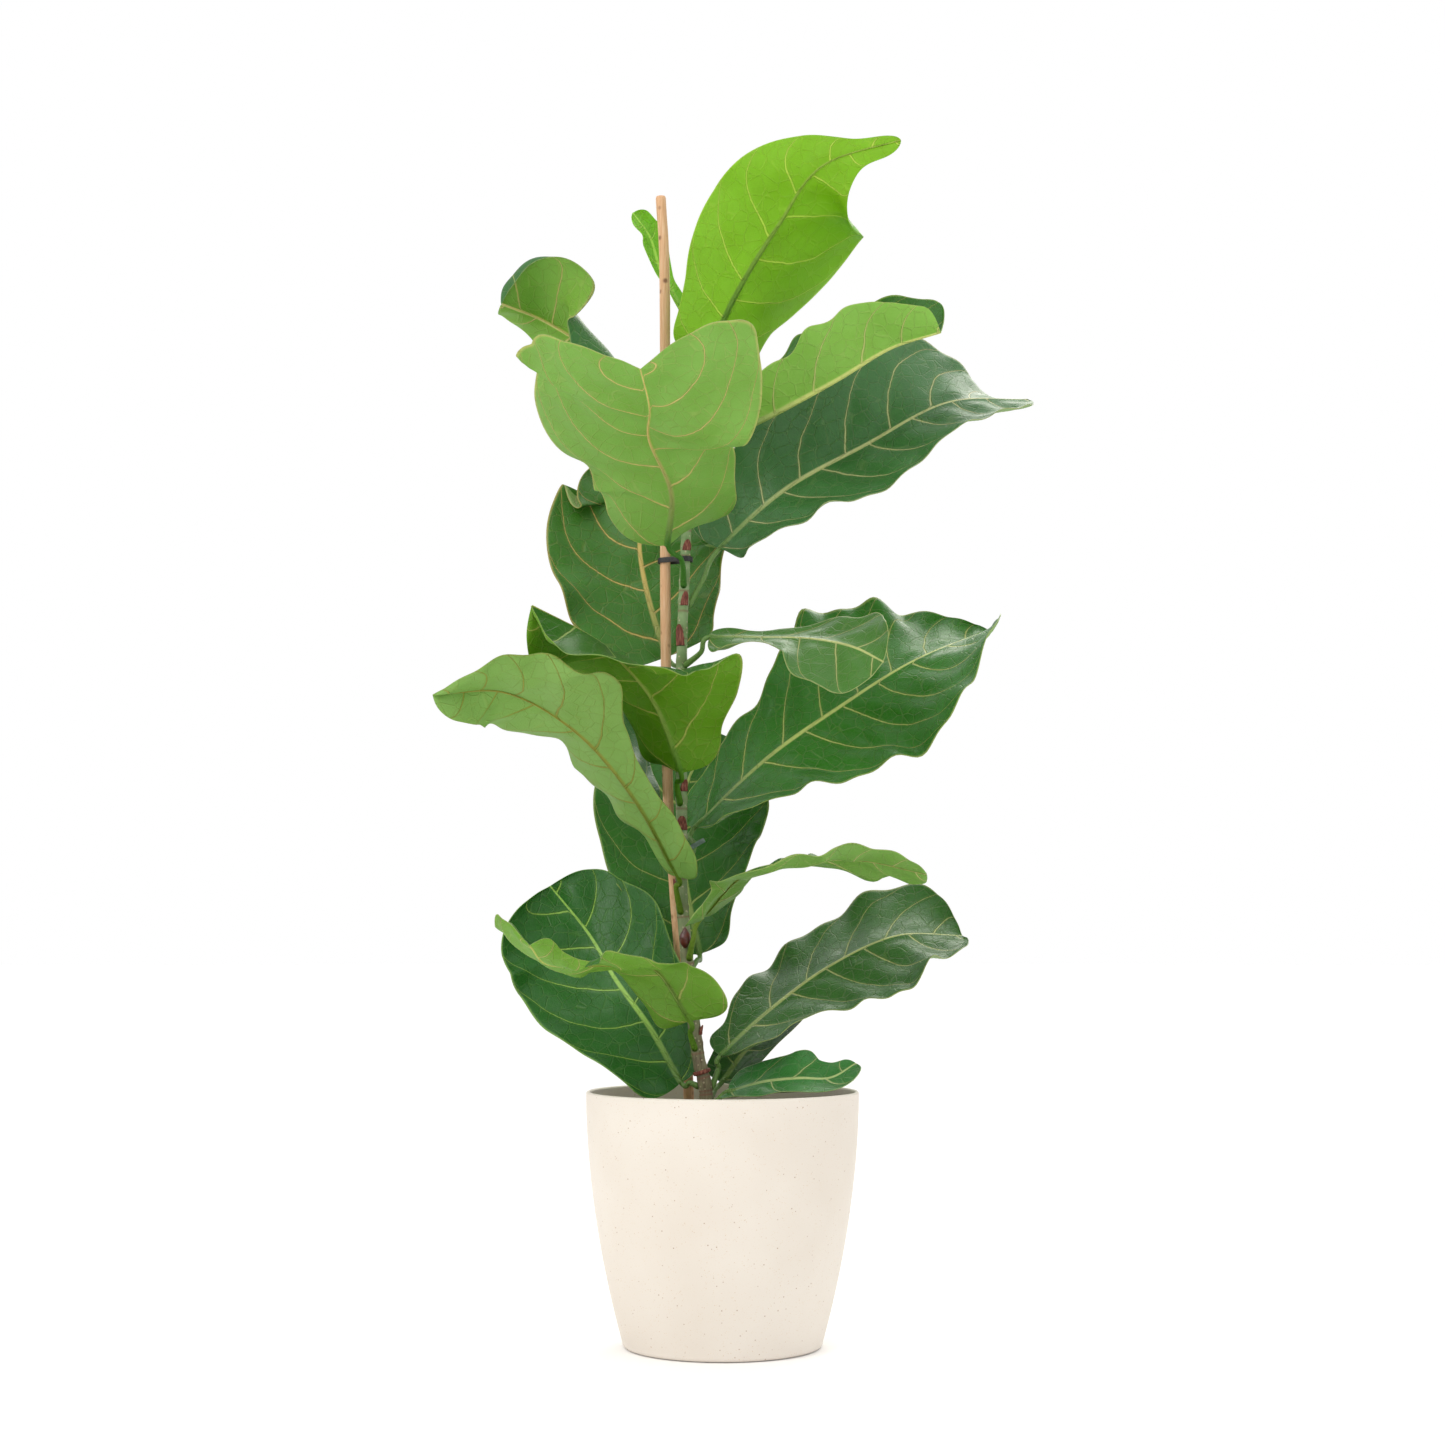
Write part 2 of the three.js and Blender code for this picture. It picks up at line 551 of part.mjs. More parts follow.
// The growing tip: a pointed sheath on top of the stem.
const tipBud = { length: 26, radius: 4 };
const stemTop = stemCurve.getPointAt(1);
const tipGeometry = lathe([
  [0, gap],
  [tipBud.radius * 0.8, gap],
  [tipBud.radius, tipBud.length * 0.25],
  [tipBud.radius * 0.7, tipBud.length * 0.6],
  [0, tipBud.length],
], 10);
tipGeometry.translate(stemTop.x, stemTop.y, stemTop.z);
add('tip_bud', tipGeometry, 0x7da03c, 0.6);

// An old leaf scar is a low collar around the stem near the soil.
const collar = { at: 40, height: 4, width: 1.6 };
const collarAlong = placeAt(stemCurve, collar.at);
const collarInner = stemRadiusAt(collarAlong) + scaleClearance;
const collarGeometry = lathe([
  [collarInner, -collar.height / 2],
  [collarInner + collar.width, -collar.height / 4],
  [collarInner + collar.width, collar.height / 4],
  [collarInner, collar.height / 2],
  [collarInner, -collar.height / 2],
], 14);
const collarMesh = add('leaf_scar', collarGeometry, 0x7a3b33, 0.9);
collarMesh.position.copy(stemCurve.getPointAt(collarAlong));
collarMesh.quaternion.setFromUnitVectors(
  new THREE.Vector3(0, 0, 1), stemCurve.getTangentAt(collarAlong),
);

// ---------------------------------------------------------------- ties
// Each tie is a band bent around the stem and the cane; the lower one has a loose end.
function tieBand(height, bandHeight) {
  const stemAlong = placeAt(stemCurve, height);
  const stemAt = stemCurve.getPointAt(stemAlong);
  const caneAt = caneCurve.getPointAt(placeAt(caneCurve, height));
  const apart = new THREE.Vector2(caneAt.x - stemAt.x, caneAt.y - stemAt.y);
  const inner = Math.max(stemRadiusAt(stemAlong), caneRadius) + tieClearance;
  const racetrack = (shape, radius) => {
    shape.absarc(0, 0, radius, Math.PI / 2, 1.5 * Math.PI, false);
    shape.absarc(apart.length(), 0, radius, -Math.PI / 2, Math.PI / 2, false);
    return shape;
  };
  const outline = racetrack(new THREE.Shape(), inner + tieWall);
  outline.holes.push(racetrack(new THREE.Path(), inner));
  const band = new THREE.ExtrudeGeometry(outline, {
    depth: bandHeight, curveSegments: 8, bevelEnabled: false,
  });
  band.translate(0, 0, -bandHeight / 2);
  band.rotateZ(apart.angle());
  band.translate(stemAt.x, stemAt.y, stemAt.z);
  return { band, stemAt, outer: inner + tieWall };
}

const clipSize = { at: 516, height: 5 };
add('clip', tieBand(clipSize.at, clipSize.height).band, 0x1d1d1b, 0.5);

const twistSize = { at: 240, height: 4.5, end: 26, rise: 30, outward: 12 };
const twist = tieBand(twistSize.at, twistSize.height);
const looseEnd = new THREE.BoxGeometry(twistSize.end, tieWall, twistSize.height);
looseEnd.translate(twistSize.end / 2, 0, 0);
looseEnd.rotateY(radians(-twistSize.rise));
looseEnd.rotateZ(radians(-twistSize.outward));
looseEnd.translate(twist.stemAt.x, twist.stemAt.y - twist.outer + tieWall / 2, twist.stemAt.z);
add('twist_tie', fromSolid(toSolid(twist.band).add(toSolid(looseEnd))), 0x6f8279, 0.6);

export default plant;
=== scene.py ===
import bmesh
import bpy
import numpy as np
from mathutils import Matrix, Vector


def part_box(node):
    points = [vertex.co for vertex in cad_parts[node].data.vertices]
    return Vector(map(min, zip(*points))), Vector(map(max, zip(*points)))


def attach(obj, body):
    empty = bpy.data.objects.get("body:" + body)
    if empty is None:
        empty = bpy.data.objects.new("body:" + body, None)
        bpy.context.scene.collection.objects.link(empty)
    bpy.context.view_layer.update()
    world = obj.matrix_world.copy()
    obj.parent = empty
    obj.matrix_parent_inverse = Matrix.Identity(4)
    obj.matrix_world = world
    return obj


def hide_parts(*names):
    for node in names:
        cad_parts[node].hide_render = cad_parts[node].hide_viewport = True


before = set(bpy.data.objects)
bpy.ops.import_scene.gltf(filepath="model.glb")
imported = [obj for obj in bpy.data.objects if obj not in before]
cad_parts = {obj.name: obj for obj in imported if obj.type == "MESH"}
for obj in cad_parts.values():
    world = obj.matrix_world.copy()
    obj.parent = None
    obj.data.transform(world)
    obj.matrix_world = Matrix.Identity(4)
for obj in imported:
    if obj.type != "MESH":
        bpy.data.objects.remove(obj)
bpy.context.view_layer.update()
mm = 0.001

# ------------------------------------------------------------------------------------ pot
# A thin moulded shell of matte polypropylene, cream with fine tan and brown mineral specks.
# It came out of one mould, so the lip and the foot are rounded and the wall has no seam.
pot_low, pot_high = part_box("pot")
pot_height = pot_high[2] - pot_low[2]
rim_radius = (pot_high[0] - pot_low[0]) / 2
foot_radius = 0.72 * rim_radius
wall_curve = 1.88
pot_wall = 4 * mm
pot_floor = 6 * mm
foot_round = 4 * mm


def pot_radius(z):
    """Outside radius at height z: it grows quickly near the foot and hardly at all at the rim."""
    down = 1 - np.asarray(z) / pot_height
    return rim_radius - (rim_radius - foot_radius) * np.abs(down) ** wall_curve


def arc(centre, radius, start, end, count):
    """Points (radius, z) of a circular arc from start to end, in degrees from +r towards +z."""
    angle = np.radians(np.linspace(start, end, count))
    return np.stack([centre[0] + radius * np.cos(angle), centre[1] + radius * np.sin(angle)], 1)


def lathed(profile, sides):
    """Grid of points: each (radius, z) of the profile turned about Z in equal steps."""
    profile = np.asarray(profile, float)
    turn = np.linspace(0, 2 * np.pi, sides, endpoint=False)
    x = profile[:, :1] * np.cos(turn)
    y = profile[:, :1] * np.sin(turn)
    z = np.repeat(profile[:, 1:], sides, axis=1)
    return np.stack([x, y, z], 2)


def surface(name, grid, wrap=True, caps=(True, True), uv=None, extra=None):
    """A mesh of the grid's quads, row by row, facing along (across) x (along the rows).

    wrap joins the last column to the first. A cap closes the first or the last row with a fan
    about its middle. uv gives (u, v) for each grid point and extra named values for each.
    """
    rows, columns = grid.shape[:2]
    index = np.arange(rows * columns).reshape(rows, columns)
    across = np.roll(index, -1, axis=1) if wrap else index[:, 1:]
    here = index if wrap else index[:, :-1]
    quads = np.stack([here[:-1], across[:-1], across[1:], here[1:]], 2).reshape(-1, 4)
    points = grid.reshape(-1, 3)
    fans = []
    for row, use in ((0, caps[0]), (rows - 1, caps[1])):
        if use:
            middle = len(points)
            points = np.vstack([points, grid[row].mean(0)])
            ring = np.stack([here[row], across[row], np.full(len(here[row]), middle)], 1)
            fans.append(ring[:, ::-1] if row == 0 else ring)
    mesh = bpy.data.meshes.new(name)
    mesh.from_pydata(points, [], quads.tolist() + [f for fan in fans for f in fan.tolist()])
    loops = np.empty(len(mesh.loops), int)
    mesh.loops.foreach_get("vertex_index", loops)
    spare = len(points) - rows * columns
    if uv is not None:
        flat = np.vstack([uv.reshape(-1, 2), np.zeros((spare, 2))])
        layer = mesh.uv_layers.new(name="surface")
        layer.data.foreach_set("uv", flat[loops].astype(np.float32).ravel())
    for label, values in (extra or {}).items():
        attribute = mesh.attributes.new(label, "FLOAT", "POINT")
        flat = np.concatenate([values.ravel(), np.zeros(spare)])
        attribute.data.foreach_set("value", flat.astype(np.float32))
    mesh.shade_smooth()
    piece = bpy.data.objects.new(name, mesh)
    bpy.context.scene.collection.objects.link(piece)
    return piece


def fit(piece, node_name, slot, *materials):
    """Dresses a finished piece, puts it in place of its CAD node and ties it to the body."""
    for material in materials:
        piece.data.materials.append(material)
    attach(piece, "root")
    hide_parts(node_name)
    return piece


def linear(colour):
    """Linear RGBA from an sRGB hex colour, by the sRGB curve."""
    value = np.array([int(colour[k:k + 2], 16) / 255 for k in (1, 3, 5)])
    value = np.where(value <= 0.04045, value / 12.92, ((value + 0.055) / 1.055) ** 2.4)
    return (*value.tolist(), 1.0)


def node(tree, kind, inputs=None, stops=None, **settings):
    """Adds a shader node and returns its first live output, or the node if it has none.

    settings are its own properties, inputs its sockets by name or number, each a value, a hex
    colour or another node's output, and stops a ramp's places and hex colours or greys.
    """
    made = tree.nodes.new(kind)
    for name, value in settings.items():
        setattr(made, name, value)
    for key, value in (inputs or {}).items():
        if isinstance(value, bpy.types.NodeSocket):
            tree.links.new(value, made.inputs[key])
        else:
            made.inputs[key].default_value = linear(value) if isinstance(value, str) else value
    if stops:
        elements = made.color_ramp.elements
        while len(elements) < len(stops):
            elements.new(0.5)
        for element, (place, shade) in zip(elements, stops):
            element.position = place
            element.color = linear(shade) if isinstance(shade, str) else (shade, shade, shade, 1)
    live = [socket for socket in made.outputs if socket.enabled]
    return live[0] if live else made


def new_material(name):
    """An empty node material and its tree."""
    material = bpy.data.materials.new(name)
    material.use_nodes = True
    material.node_tree.nodes.clear()
    return material, material.node_tree


def polypropylene():
    """Moulded PP with mineral specks: matte, a faint orange-peel skin and three sizes of speck."""
    material, tree = new_material("speckled_polypropylene")
    place = node(tree, "ShaderNodeTexCoord").node.outputs["Object"]
    cloud = node(tree, "ShaderNodeTexNoise", {"Vector": place, "Scale": 9.0, "Detail": 3.0})
    base = node(tree, "ShaderNodeValToRGB", {0: cloud}, [(0.3, "#DBD1C5"), (0.7, "#E2DAD0")])
    specks = (
        (0.0060, 0.070, "#9A7350", 0.75),   # sparse brown flecks, under 1 mm
        (0.0032, 0.100, "#C2A079", 0.60),   # tan grains
        (0.0018, 0.160, "#D3BC99", 0.50),   # the finest grains, drawn a little coarse to show
    )
    for pitch, size, shade, strength in specks:
        cells = node(
            tree, "ShaderNodeTexVoronoi", {"Vector": place, "Scale": 1 / pitch, "Randomness": 1.0},
        )
        dot = node(tree, "ShaderNodeValToRGB", {0: cells}, [(size, strength), (size + 0.05, 0.0)])
        kept = node(
            tree, "ShaderNodeTexNoise", {"Vector": place, "Scale": 0.45 / pitch, "Detail": 1.0},
        )
        some = node(tree, "ShaderNodeValToRGB", {0: kept}, [(0.47, 0.0), (0.55, 1.0)])
        mask = node(tree, "ShaderNodeMath", {0: dot, 1: some}, operation="MULTIPLY")
        base = node(tree, "ShaderNodeMix", {0: mask, 6: base, 7: shade}, data_type="RGBA")
    skin = node(tree, "ShaderNodeTexNoise", {"Vector": place, "Scale": 900.0, "Detail": 2.0})
    relief = node(tree, "ShaderNodeBump", {"Height": skin, "Strength": 0.12, "Distance": 0.0004})
    rough = node(tree, "ShaderNodeMapRange", {0: cloud, 3: 0.50, 4: 0.62})
    shader = node(tree, "ShaderNodeBsdfPrincipled", {
        "Base Color": base, "Roughness": rough, "Normal": relief, "IOR": 1.49,
    })
    node(tree, "ShaderNodeOutputMaterial", {"Surface": shader})
    return material


lip = pot_wall / 2
wall_heights = np.linspace(foot_round, pot_height - lip, 60)
inside_heights = np.linspace(pot_height - lip, pot_floor + foot_round, 50)
foot_corner = (pot_radius(foot_round) - foot_round, foot_round)
pot_profile = np.vstack([
    [[0.4 * mm, 0], [foot_radius * 0.5, 0]],
    arc(foot_corner, foot_round, -90, -2, 10),
    np.stack([pot_radius(wall_heights), wall_heights], 1),
    arc((rim_radius - lip, pot_height - lip), lip, 4, 176, 14),
    np.stack([pot_radius(inside_heights) - pot_wall, inside_heights], 1),
    [[pot_radius(0) - 2 * pot_wall, pot_floor], [0.4 * mm, pot_floor]],
])
pot = surface("pot_shell", lathed(pot_profile, 240))
fit(pot, "pot", "pot_plastic", polypropylene())

# ----------------------------------------------------------------------------------- soil
# Loose potting mix of peat and composted bark, poured in and settled a little lower at the
# wall. It holds the stem and the cane, and coarse bits of bark and perlite lie on top.
soil_low, soil_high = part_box("soil")
soil_level = soil_high[2]
soil_dome = 4 * mm
soil_clearance = 1.2 * mm
soil_radius = pot_radius(soil_level - soil_dome) - pot_wall - soil_clearance
rng = np.random.default_rng(7)


def waves(x, y, lengths, rng):
    """Smooth random height: a sum of plane waves of the given lengths in random directions."""
    total = np.zeros_like(x)
    for length in lengths:
        turn = rng.uniform(0, 2 * np.pi)
        shift = rng.uniform(0, 2 * np.pi)
        total += length * np.sin((x * np.cos(turn) + y * np.sin(turn)) * 2 * np.pi / length + shift)
    return total / np.sum(lengths)


def potting_mix():
    """Peat and bark, moist: near-black brown, fully rough, in crumbs of 2 to 6 mm."""
    material, tree = new_material("peat_and_bark")
    place = node(tree, "ShaderNodeTexCoord").node.outputs["Object"]
    crumbs = node(tree, "ShaderNodeTexVoronoi", {"Vector": place, "Scale": 260.0})
    grit = node(tree, "ShaderNodeTexNoise", {"Vector": place, "Scale": 480.0, "Detail": 6.0})
    tone = node(tree, "ShaderNodeMath", {0: crumbs, 1: grit}, operation="MULTIPLY")
    colour = node(tree, "ShaderNodeValToRGB", {0: tone}, [
        (0.08, "#1E140D"), (0.25, "#3A281B"), (0.45, "#5A412C"), (0.6, "#7B6044"),
    ])
    relief = node(tree, "ShaderNodeBump", {"Height": tone, "Strength": 0.9, "Distance": 0.002})
    shader = node(tree, "ShaderNodeBsdfPrincipled", {
        "Base Color": colour, "Roughness": 0.95, "Normal": relief,
    })
    node(tree, "ShaderNodeOutputMaterial", {"Surface": shader})
    return material


def crumb_bed(count, sides):
    """Grid of the soil body: up the side, then inward over a dome that waves give its crumbs."""
    inward = np.linspace(1, 0.004, count)
    wall_z = np.linspace(soil_low[2], soil_level - soil_dome, 6)
    wall = np.stack([pot_radius(wall_z) - pot_wall - soil_clearance, wall_z], 1)
    top = np.stack([soil_radius * inward, soil_level - soil_dome * inward ** 2], 1)
    start = [[0.4 * mm, soil_low[2]], [wall[0, 0] * 0.5, soil_low[2]]]
    grid = lathed(np.vstack([start, wall, top[1:]]), sides)
    x, y = grid[-count + 1:, :, 0], grid[-count + 1:, :, 1]
    bumps = waves(x, y, [0.031, 0.023, 0.017, 0.012, 0.009, 0.007, 0.006, 0.005], rng)
    edge = np.clip((1 - inward[1:]) / 0.05, 0, 1)[:, None]
    grid[-count + 1:, :, 2] += 2.2 * mm * bumps * edge - 0.8 * mm
    return grid


soil = surface("soil_bed", crumb_bed(110, 260))


def scattered_bits(name, count, size, flat, rng):
    """One mesh of many small lumps: each a squashed octahedron, cut square, turned at random."""
    corners = np.array([[1, 0, 0], [0, 1, 0], [-1, 0, 0], [0, -1, 0], [0, 0, 1], [0, 0, -1]], float)
    faces = np.array([
        [0, 1, 4], [1, 2, 4], [2, 3, 4], [3, 0, 4],
        [1, 0, 5], [2, 1, 5], [3, 2, 5], [0, 3, 5],
    ])
    lengths = size * rng.uniform(0.5, 1.0, (count, 1, 3)) * np.array([1.0, 0.6, flat])
    lumps = corners[None] * lengths * rng.uniform(0.8, 1.2, (count, 6, 1))
    turn = rng.uniform(0, 2 * np.pi, count)
    tilt = rng.normal(0, 0.35, count)
    c, s = np.cos(turn), np.sin(turn)
    ct, st = np.cos(tilt), np.sin(tilt)
    x, y, z = lumps[..., 0], lumps[..., 1], lumps[..., 2]
    x, z = ct[:, None] * x - st[:, None] * z, st[:, None] * x + ct[:, None] * z
    x, y = c[:, None] * x - s[:, None] * y, s[:, None] * x + c[:, None] * y
    reach = 0.96 * soil_radius * np.sqrt(rng.uniform(0, 1, count))
    way = rng.uniform(0, 2 * np.pi, count)
    x = x + (reach * np.cos(way))[:, None]
    y = y + (reach * np.sin(way))[:, None]
    z = z + (soil_level - soil_dome * (reach / soil_radius) ** 2 + 0.3 * mm)[:, None]
    mesh = bpy.data.meshes.new(name)
    every = faces[None] + 6 * np.arange(count)[:, None, None]
    mesh.from_pydata(np.stack([x, y, z], 2).reshape(-1, 3), [], every.reshape(-1, 3).tolist())
    piece = bpy.data.objects.new(name, mesh)
    bpy.context.scene.collection.objects.link(piece)
    return piece


def bark_chip():
    """Composted pine bark: red-brown plates, dry and dull, each chip a little different."""
    material, tree = new_material("pine_bark_chips")
    place = node(tree, "ShaderNodeTexCoord").node.outputs["Object"]
    cells = node(tree, "ShaderNodeTexVoronoi", {"Vector": place, "Scale": 140.0})
    patch = cells.node.outputs["Color"]
    grain = node(tree, "ShaderNodeTexNoise", {"Vector": place, "Scale": 700.0, "Detail": 4.0})
    colour = node(tree, "ShaderNodeValToRGB", {0: patch}, [
        (0.1, "#2A1B12"), (0.5, "#4B3222"), (0.8, "#6E4D34"), (0.97, "#A08767"),
    ])
    relief = node(tree, "ShaderNodeBump", {"Height": grain, "Strength": 0.5, "Distance": 0.0006})
    shader = node(tree, "ShaderNodeBsdfPrincipled", {
        "Base Color": colour, "Roughness": 0.85, "Normal": relief,
    })
    node(tree, "ShaderNodeOutputMaterial", {"Surface": shader})
    return material


fit(soil, "soil", "soil_mix", potting_mix())
chips = scattered_bits("bark_chips", 900, 4.5 * mm, 0.35, rng)
fit(chips, "soil", "soil_mix", bark_chip())

# ----------------------------------------------------------------------------------- stem
# One green-grey woody stem, grown from the soil to the bud, browner and rougher at the foot.
# It is slightly swollen at each node, where a leaf is or was, and dotted with pale pores.
stem_points = np.array([
    [-14, 0, -60], [-15, 0, 18], [-22, 0, 52], [-27, 0, 90], [-34, 0, 158], [-38, 0, 212],
    [-38, 0, 300], [-38, 0, 430], [-35, 0, 513], [-32, 0, 600], [-32, 0, 668], [-32, 0, 712],
]) * mm + [0, 0, soil_level]
stem_root_radius = 6.2 * mm
stem_tip_radius = 4.2 * mm
stem_sides = 48
leaf_heights = np.array([
    666, 592, 491, 599, 472, 406, 416, 287, 252, 222, 187, 144, 134, 62, 28, 25, 13, 11,
])
old_nodes = np.array([330, 362, 446, 524, 548, 100, 40])


def smooth_line(points, t):
    """Catmull-Rom line through points, evenly spaced in t from 0 to 1, ends carried straight on."""
    points = np.asarray(points, float)
    ends = np.vstack([2 * points[0] - points[1], points, 2 * points[-1] - points[-2]])
    place = np.clip(np.asarray(t, float) * (len(points) - 1), 0, len(points) - 1 - 1e-9)
    k = place.astype(int)
    w = (place - k)[:, None]
    a, b, c, d = ends[k], ends[k + 1], ends[k + 2], ends[k + 3]
    cubic = (3 * b - a - 3 * c + d) * w ** 3
    return 0.5 * (2 * b + (c - a) * w + (2 * a - 5 * b + 4 * c - d) * w ** 2 + cubic)


def even_line(points, count):
    """The smooth line through points as count points an equal length apart, and that length."""
    fine = smooth_line(points, np.linspace(0, 1, 4000))
    length = np.r_[0, np.cumsum(np.linalg.norm(np.diff(fine, axis=0), axis=1))]
    at = np.linspace(0, length[-1], count)
    return np.stack([np.interp(at, length, fine[:, k]) for k in range(3)], 1), length[-1]


def unit(vectors):
    """The vectors at length 1."""
    return vectors / np.linalg.norm(vectors, axis=-1, keepdims=True)


def tube(line, radius, sides):
    """Grid round a rising line: circles square to it, each of that radius, turned alike.

    radius is one value for each row, or one for each row and side.
    """
    along = unit(np.gradient(line, axis=0))
    side = unit(np.cross(np.array([0.0, 1.0, 0.0]), along))
    front = np.cross(along, side)
    turn = np.linspace(0, 2 * np.pi, sides, endpoint=False)
    radius = np.broadcast_to(np.asarray(radius).reshape(len(line), -1), (len(line), sides))
    out = side[:, None] * np.cos(turn)[None, :, None] + front[:, None] * np.sin(turn)[None, :, None]
    return line[:, None] + radius[..., None] * out


def young_bark():
    """Fig bark: a thin green skin greying with age, matte, with pale raised pores (lenticels)."""
    material, tree = new_material("fig_bark")
    place = node(tree, "ShaderNodeTexCoord").node.outputs["Object"]
    age = node(tree, "ShaderNodeAttribute", attribute_name="age").node.outputs["Fac"]
    knot = node(tree, "ShaderNodeAttribute", attribute_name="knot").node.outputs["Fac"]
    stretched = node(tree, "ShaderNodeMapping", {"Vector": place, "Scale": (1.0, 1.0, 0.22)})
    streak = node(tree, "ShaderNodeTexNoise", {"Vector": stretched, "Scale": 420.0, "Detail": 5.0})
    blotch = node(tree, "ShaderNodeTexNoise", {"Vector": place, "Scale": 75.0, "Detail": 4.0})
    fresh = node(tree, "ShaderNodeValToRGB", {0: blotch}, [(0.3, "#6B8A52"), (0.7, "#93A97C")])
    worn = node(tree, "ShaderNodeValToRGB", {0: streak}, [(0.3, "#5B4A38"), (0.7, "#8F8468")])
    edge = node(tree, "ShaderNodeMath", {0: age, 1: blotch}, operation="MULTIPLY_ADD")
    tree.links.new(age, edge.node.inputs[2])
    old = node(tree, "ShaderNodeMapRange", {0: edge, 1: 0.75, 2: 1.7})
    bark = node(tree, "ShaderNodeMix", {0: old, 6: fresh, 7: worn}, data_type="RGBA")
    pores = node(tree, "ShaderNodeTexVoronoi", {"Vector": place, "Scale": 230.0})
    pore = node(tree, "ShaderNodeValToRGB", {0: pores}, [(0.16, 0.8), (0.26, 0.0)])
    dotted = node(tree, "ShaderNodeMix", {0: pore, 6: bark, 7: "#C3B795"}, data_type="RGBA")
    ring = node(tree, "ShaderNodeMath", {0: knot, 1: 0.7}, operation="MULTIPLY")
    colour = node(tree, "ShaderNodeMix", {0: ring, 6: dotted, 7: "#7A4A3A"}, data_type="RGBA")
    height = node(tree, "ShaderNodeMath", {0: pore, 1: 0.6, 2: streak}, operation="MULTIPLY_ADD")
    relief = node(tree, "ShaderNodeBump", {"Height": height, "Strength": 0.6, "Distance": 0.0007})
    shader = node(tree, "ShaderNodeBsdfPrincipled", {
        "Base Color": colour, "Roughness": 0.72, "Normal": relief,
    })
    node(tree, "ShaderNodeOutputMaterial", {"Surface": shader})
    return material


stem_line, _ = even_line(stem_points, 700)
stem_share = np.linspace(0, 1, len(stem_line))
stem_radius = stem_root_radius + (stem_tip_radius - stem_root_radius) * stem_share
stem_height = (stem_line[:, 2] - soil_level) / mm
nodes_at = np.concatenate([leaf_heights, old_nodes])
knots = np.exp(-((stem_height[:, None] - nodes_at[None] - 4) / 3.2) ** 2)
rings = np.exp(-((stem_height[:, None] - nodes_at[None] + 5) / 0.9) ** 2).max(1)
swelling = 0.55 * mm * knots.max(1) + 0.25 * mm * rings
turn = np.linspace(0, 2 * np.pi, stem_sides, endpoint=False)
ribs = 0.1 * mm * np.sin(5 * turn[None] + 0.03 * stem_height[:, None])
stem_grid = tube(stem_line, (stem_radius + swelling)[:, None] + ribs, stem_sides)
stem_age = np.clip(1.1 - stem_height / 520, 0, 1)
stem_rings = np.clip(knots.max(1) * 0.25 + rings, 0, 1)
stem = surface("fig_stem", stem_grid, extra={
    "age": np.repeat(stem_age[:, None], stem_sides, axis=1),
    "knot": np.repeat(stem_rings[:, None], stem_sides, axis=1),
})
fit(stem, "stem", "stem_bark", young_bark())

# ----------------------------------------------------------------------------------- cane
# A straight debarked stick that the stem is tied to, cut square at the top and pushed down
# into the soil behind the stem. It is dry pale wood with small knots and weather spots.
cane_points = np.array([
    [-26, 58, -140], [-31, 52, 0], [-36, 42, 90], [-45, 19, 210], [-51, 11, 300],
    [-54, 9, 520], [-55, 9, 780], [-59, 9, 868],
]) * mm + [0, 0, soil_level]
cane_radius = 4.9 * mm
cane_sides = 40
cane_knots_at = [(0.21, 4.4), (0.34, 1.2), (0.47, 5.2), (0.62, 3.9), (0.76, 4.9), (0.9, 0.6)]


def dry_wood():
    """Debarked hazel or pine: straight grain along the stick, dull, with brown knots and spots."""
    material, tree = new_material("debarked_wood")
    place = node(tree, "ShaderNodeTexCoord").node.outputs["Object"]
    stretched = node(tree, "ShaderNodeMapping", {"Vector": place, "Scale": (1.0, 1.0, 0.06)})
    grain = node(tree, "ShaderNodeTexNoise", {"Vector": stretched, "Scale": 700.0, "Detail": 5.0})
    cloud = node(tree, "ShaderNodeTexNoise", {"Vector": place, "Scale": 38.0, "Detail": 3.0})
    wood = node(tree, "ShaderNodeValToRGB", {0: grain}, [
        (0.28, "#B98A62"), (0.5, "#D6AE86"), (0.74, "#EBD0AE"),
    ])
    warm = node(tree, "ShaderNodeMix", {0: cloud, 6: wood, 7: "#D9A77C"}, data_type="RGBA")
    cells = node(tree, "ShaderNodeTexVoronoi", {"Vector": place, "Scale": 75.0})
    spot = node(tree, "ShaderNodeValToRGB", {0: cells}, [(0.10, 0.9), (0.24, 0.0)])
    colour = node(tree, "ShaderNodeMix", {0: spot, 6: warm, 7: "#7A4F33"}, data_type="RGBA")
    relief = node(tree, "ShaderNodeBump", {"Height": grain, "Strength": 0.45, "Distance": 0.0006})
    shader = node(tree, "ShaderNodeBsdfPrincipled", {
        "Base Color": colour, "Roughness": 0.68, "Normal": relief,
    })
    node(tree, "ShaderNodeOutputMaterial", {"Surface": shader})
    return material


cane_line, cane_length = even_line(cane_points, 500)
cane_heights = np.linspace(0, cane_length, len(cane_line))
cane_turn = np.linspace(0, 2 * np.pi, cane_sides, endpoint=False)
cane_knots = np.zeros((len(cane_line), cane_sides))
for knot_at, knot_turn in cane_knots_at:
    away = np.angle(np.exp(1j * (cane_turn - knot_turn)))[None] * cane_radius
    rise = (cane_heights - knot_at * cane_length)[:, None]
    cane_knots += 0.5 * mm * np.exp(-(away / (2.2 * mm)) ** 2 - (rise / (3.5 * mm)) ** 2)
wander = 0.12 * mm * np.sin(cane_heights / (23 * mm))[:, None] * np.sin(2 * cane_turn + 1)[None]
cane_end = np.clip((cane_length - cane_heights) / (0.8 * mm), 0, 1)
cane_round = (cane_radius - 0.5 * mm * (1 - cane_end) ** 2)[:, None]
cane = surface("support_cane", tube(cane_line, cane_round + wander + cane_knots, cane_sides))
fit(cane, "cane", "cane_wood", dry_wood())

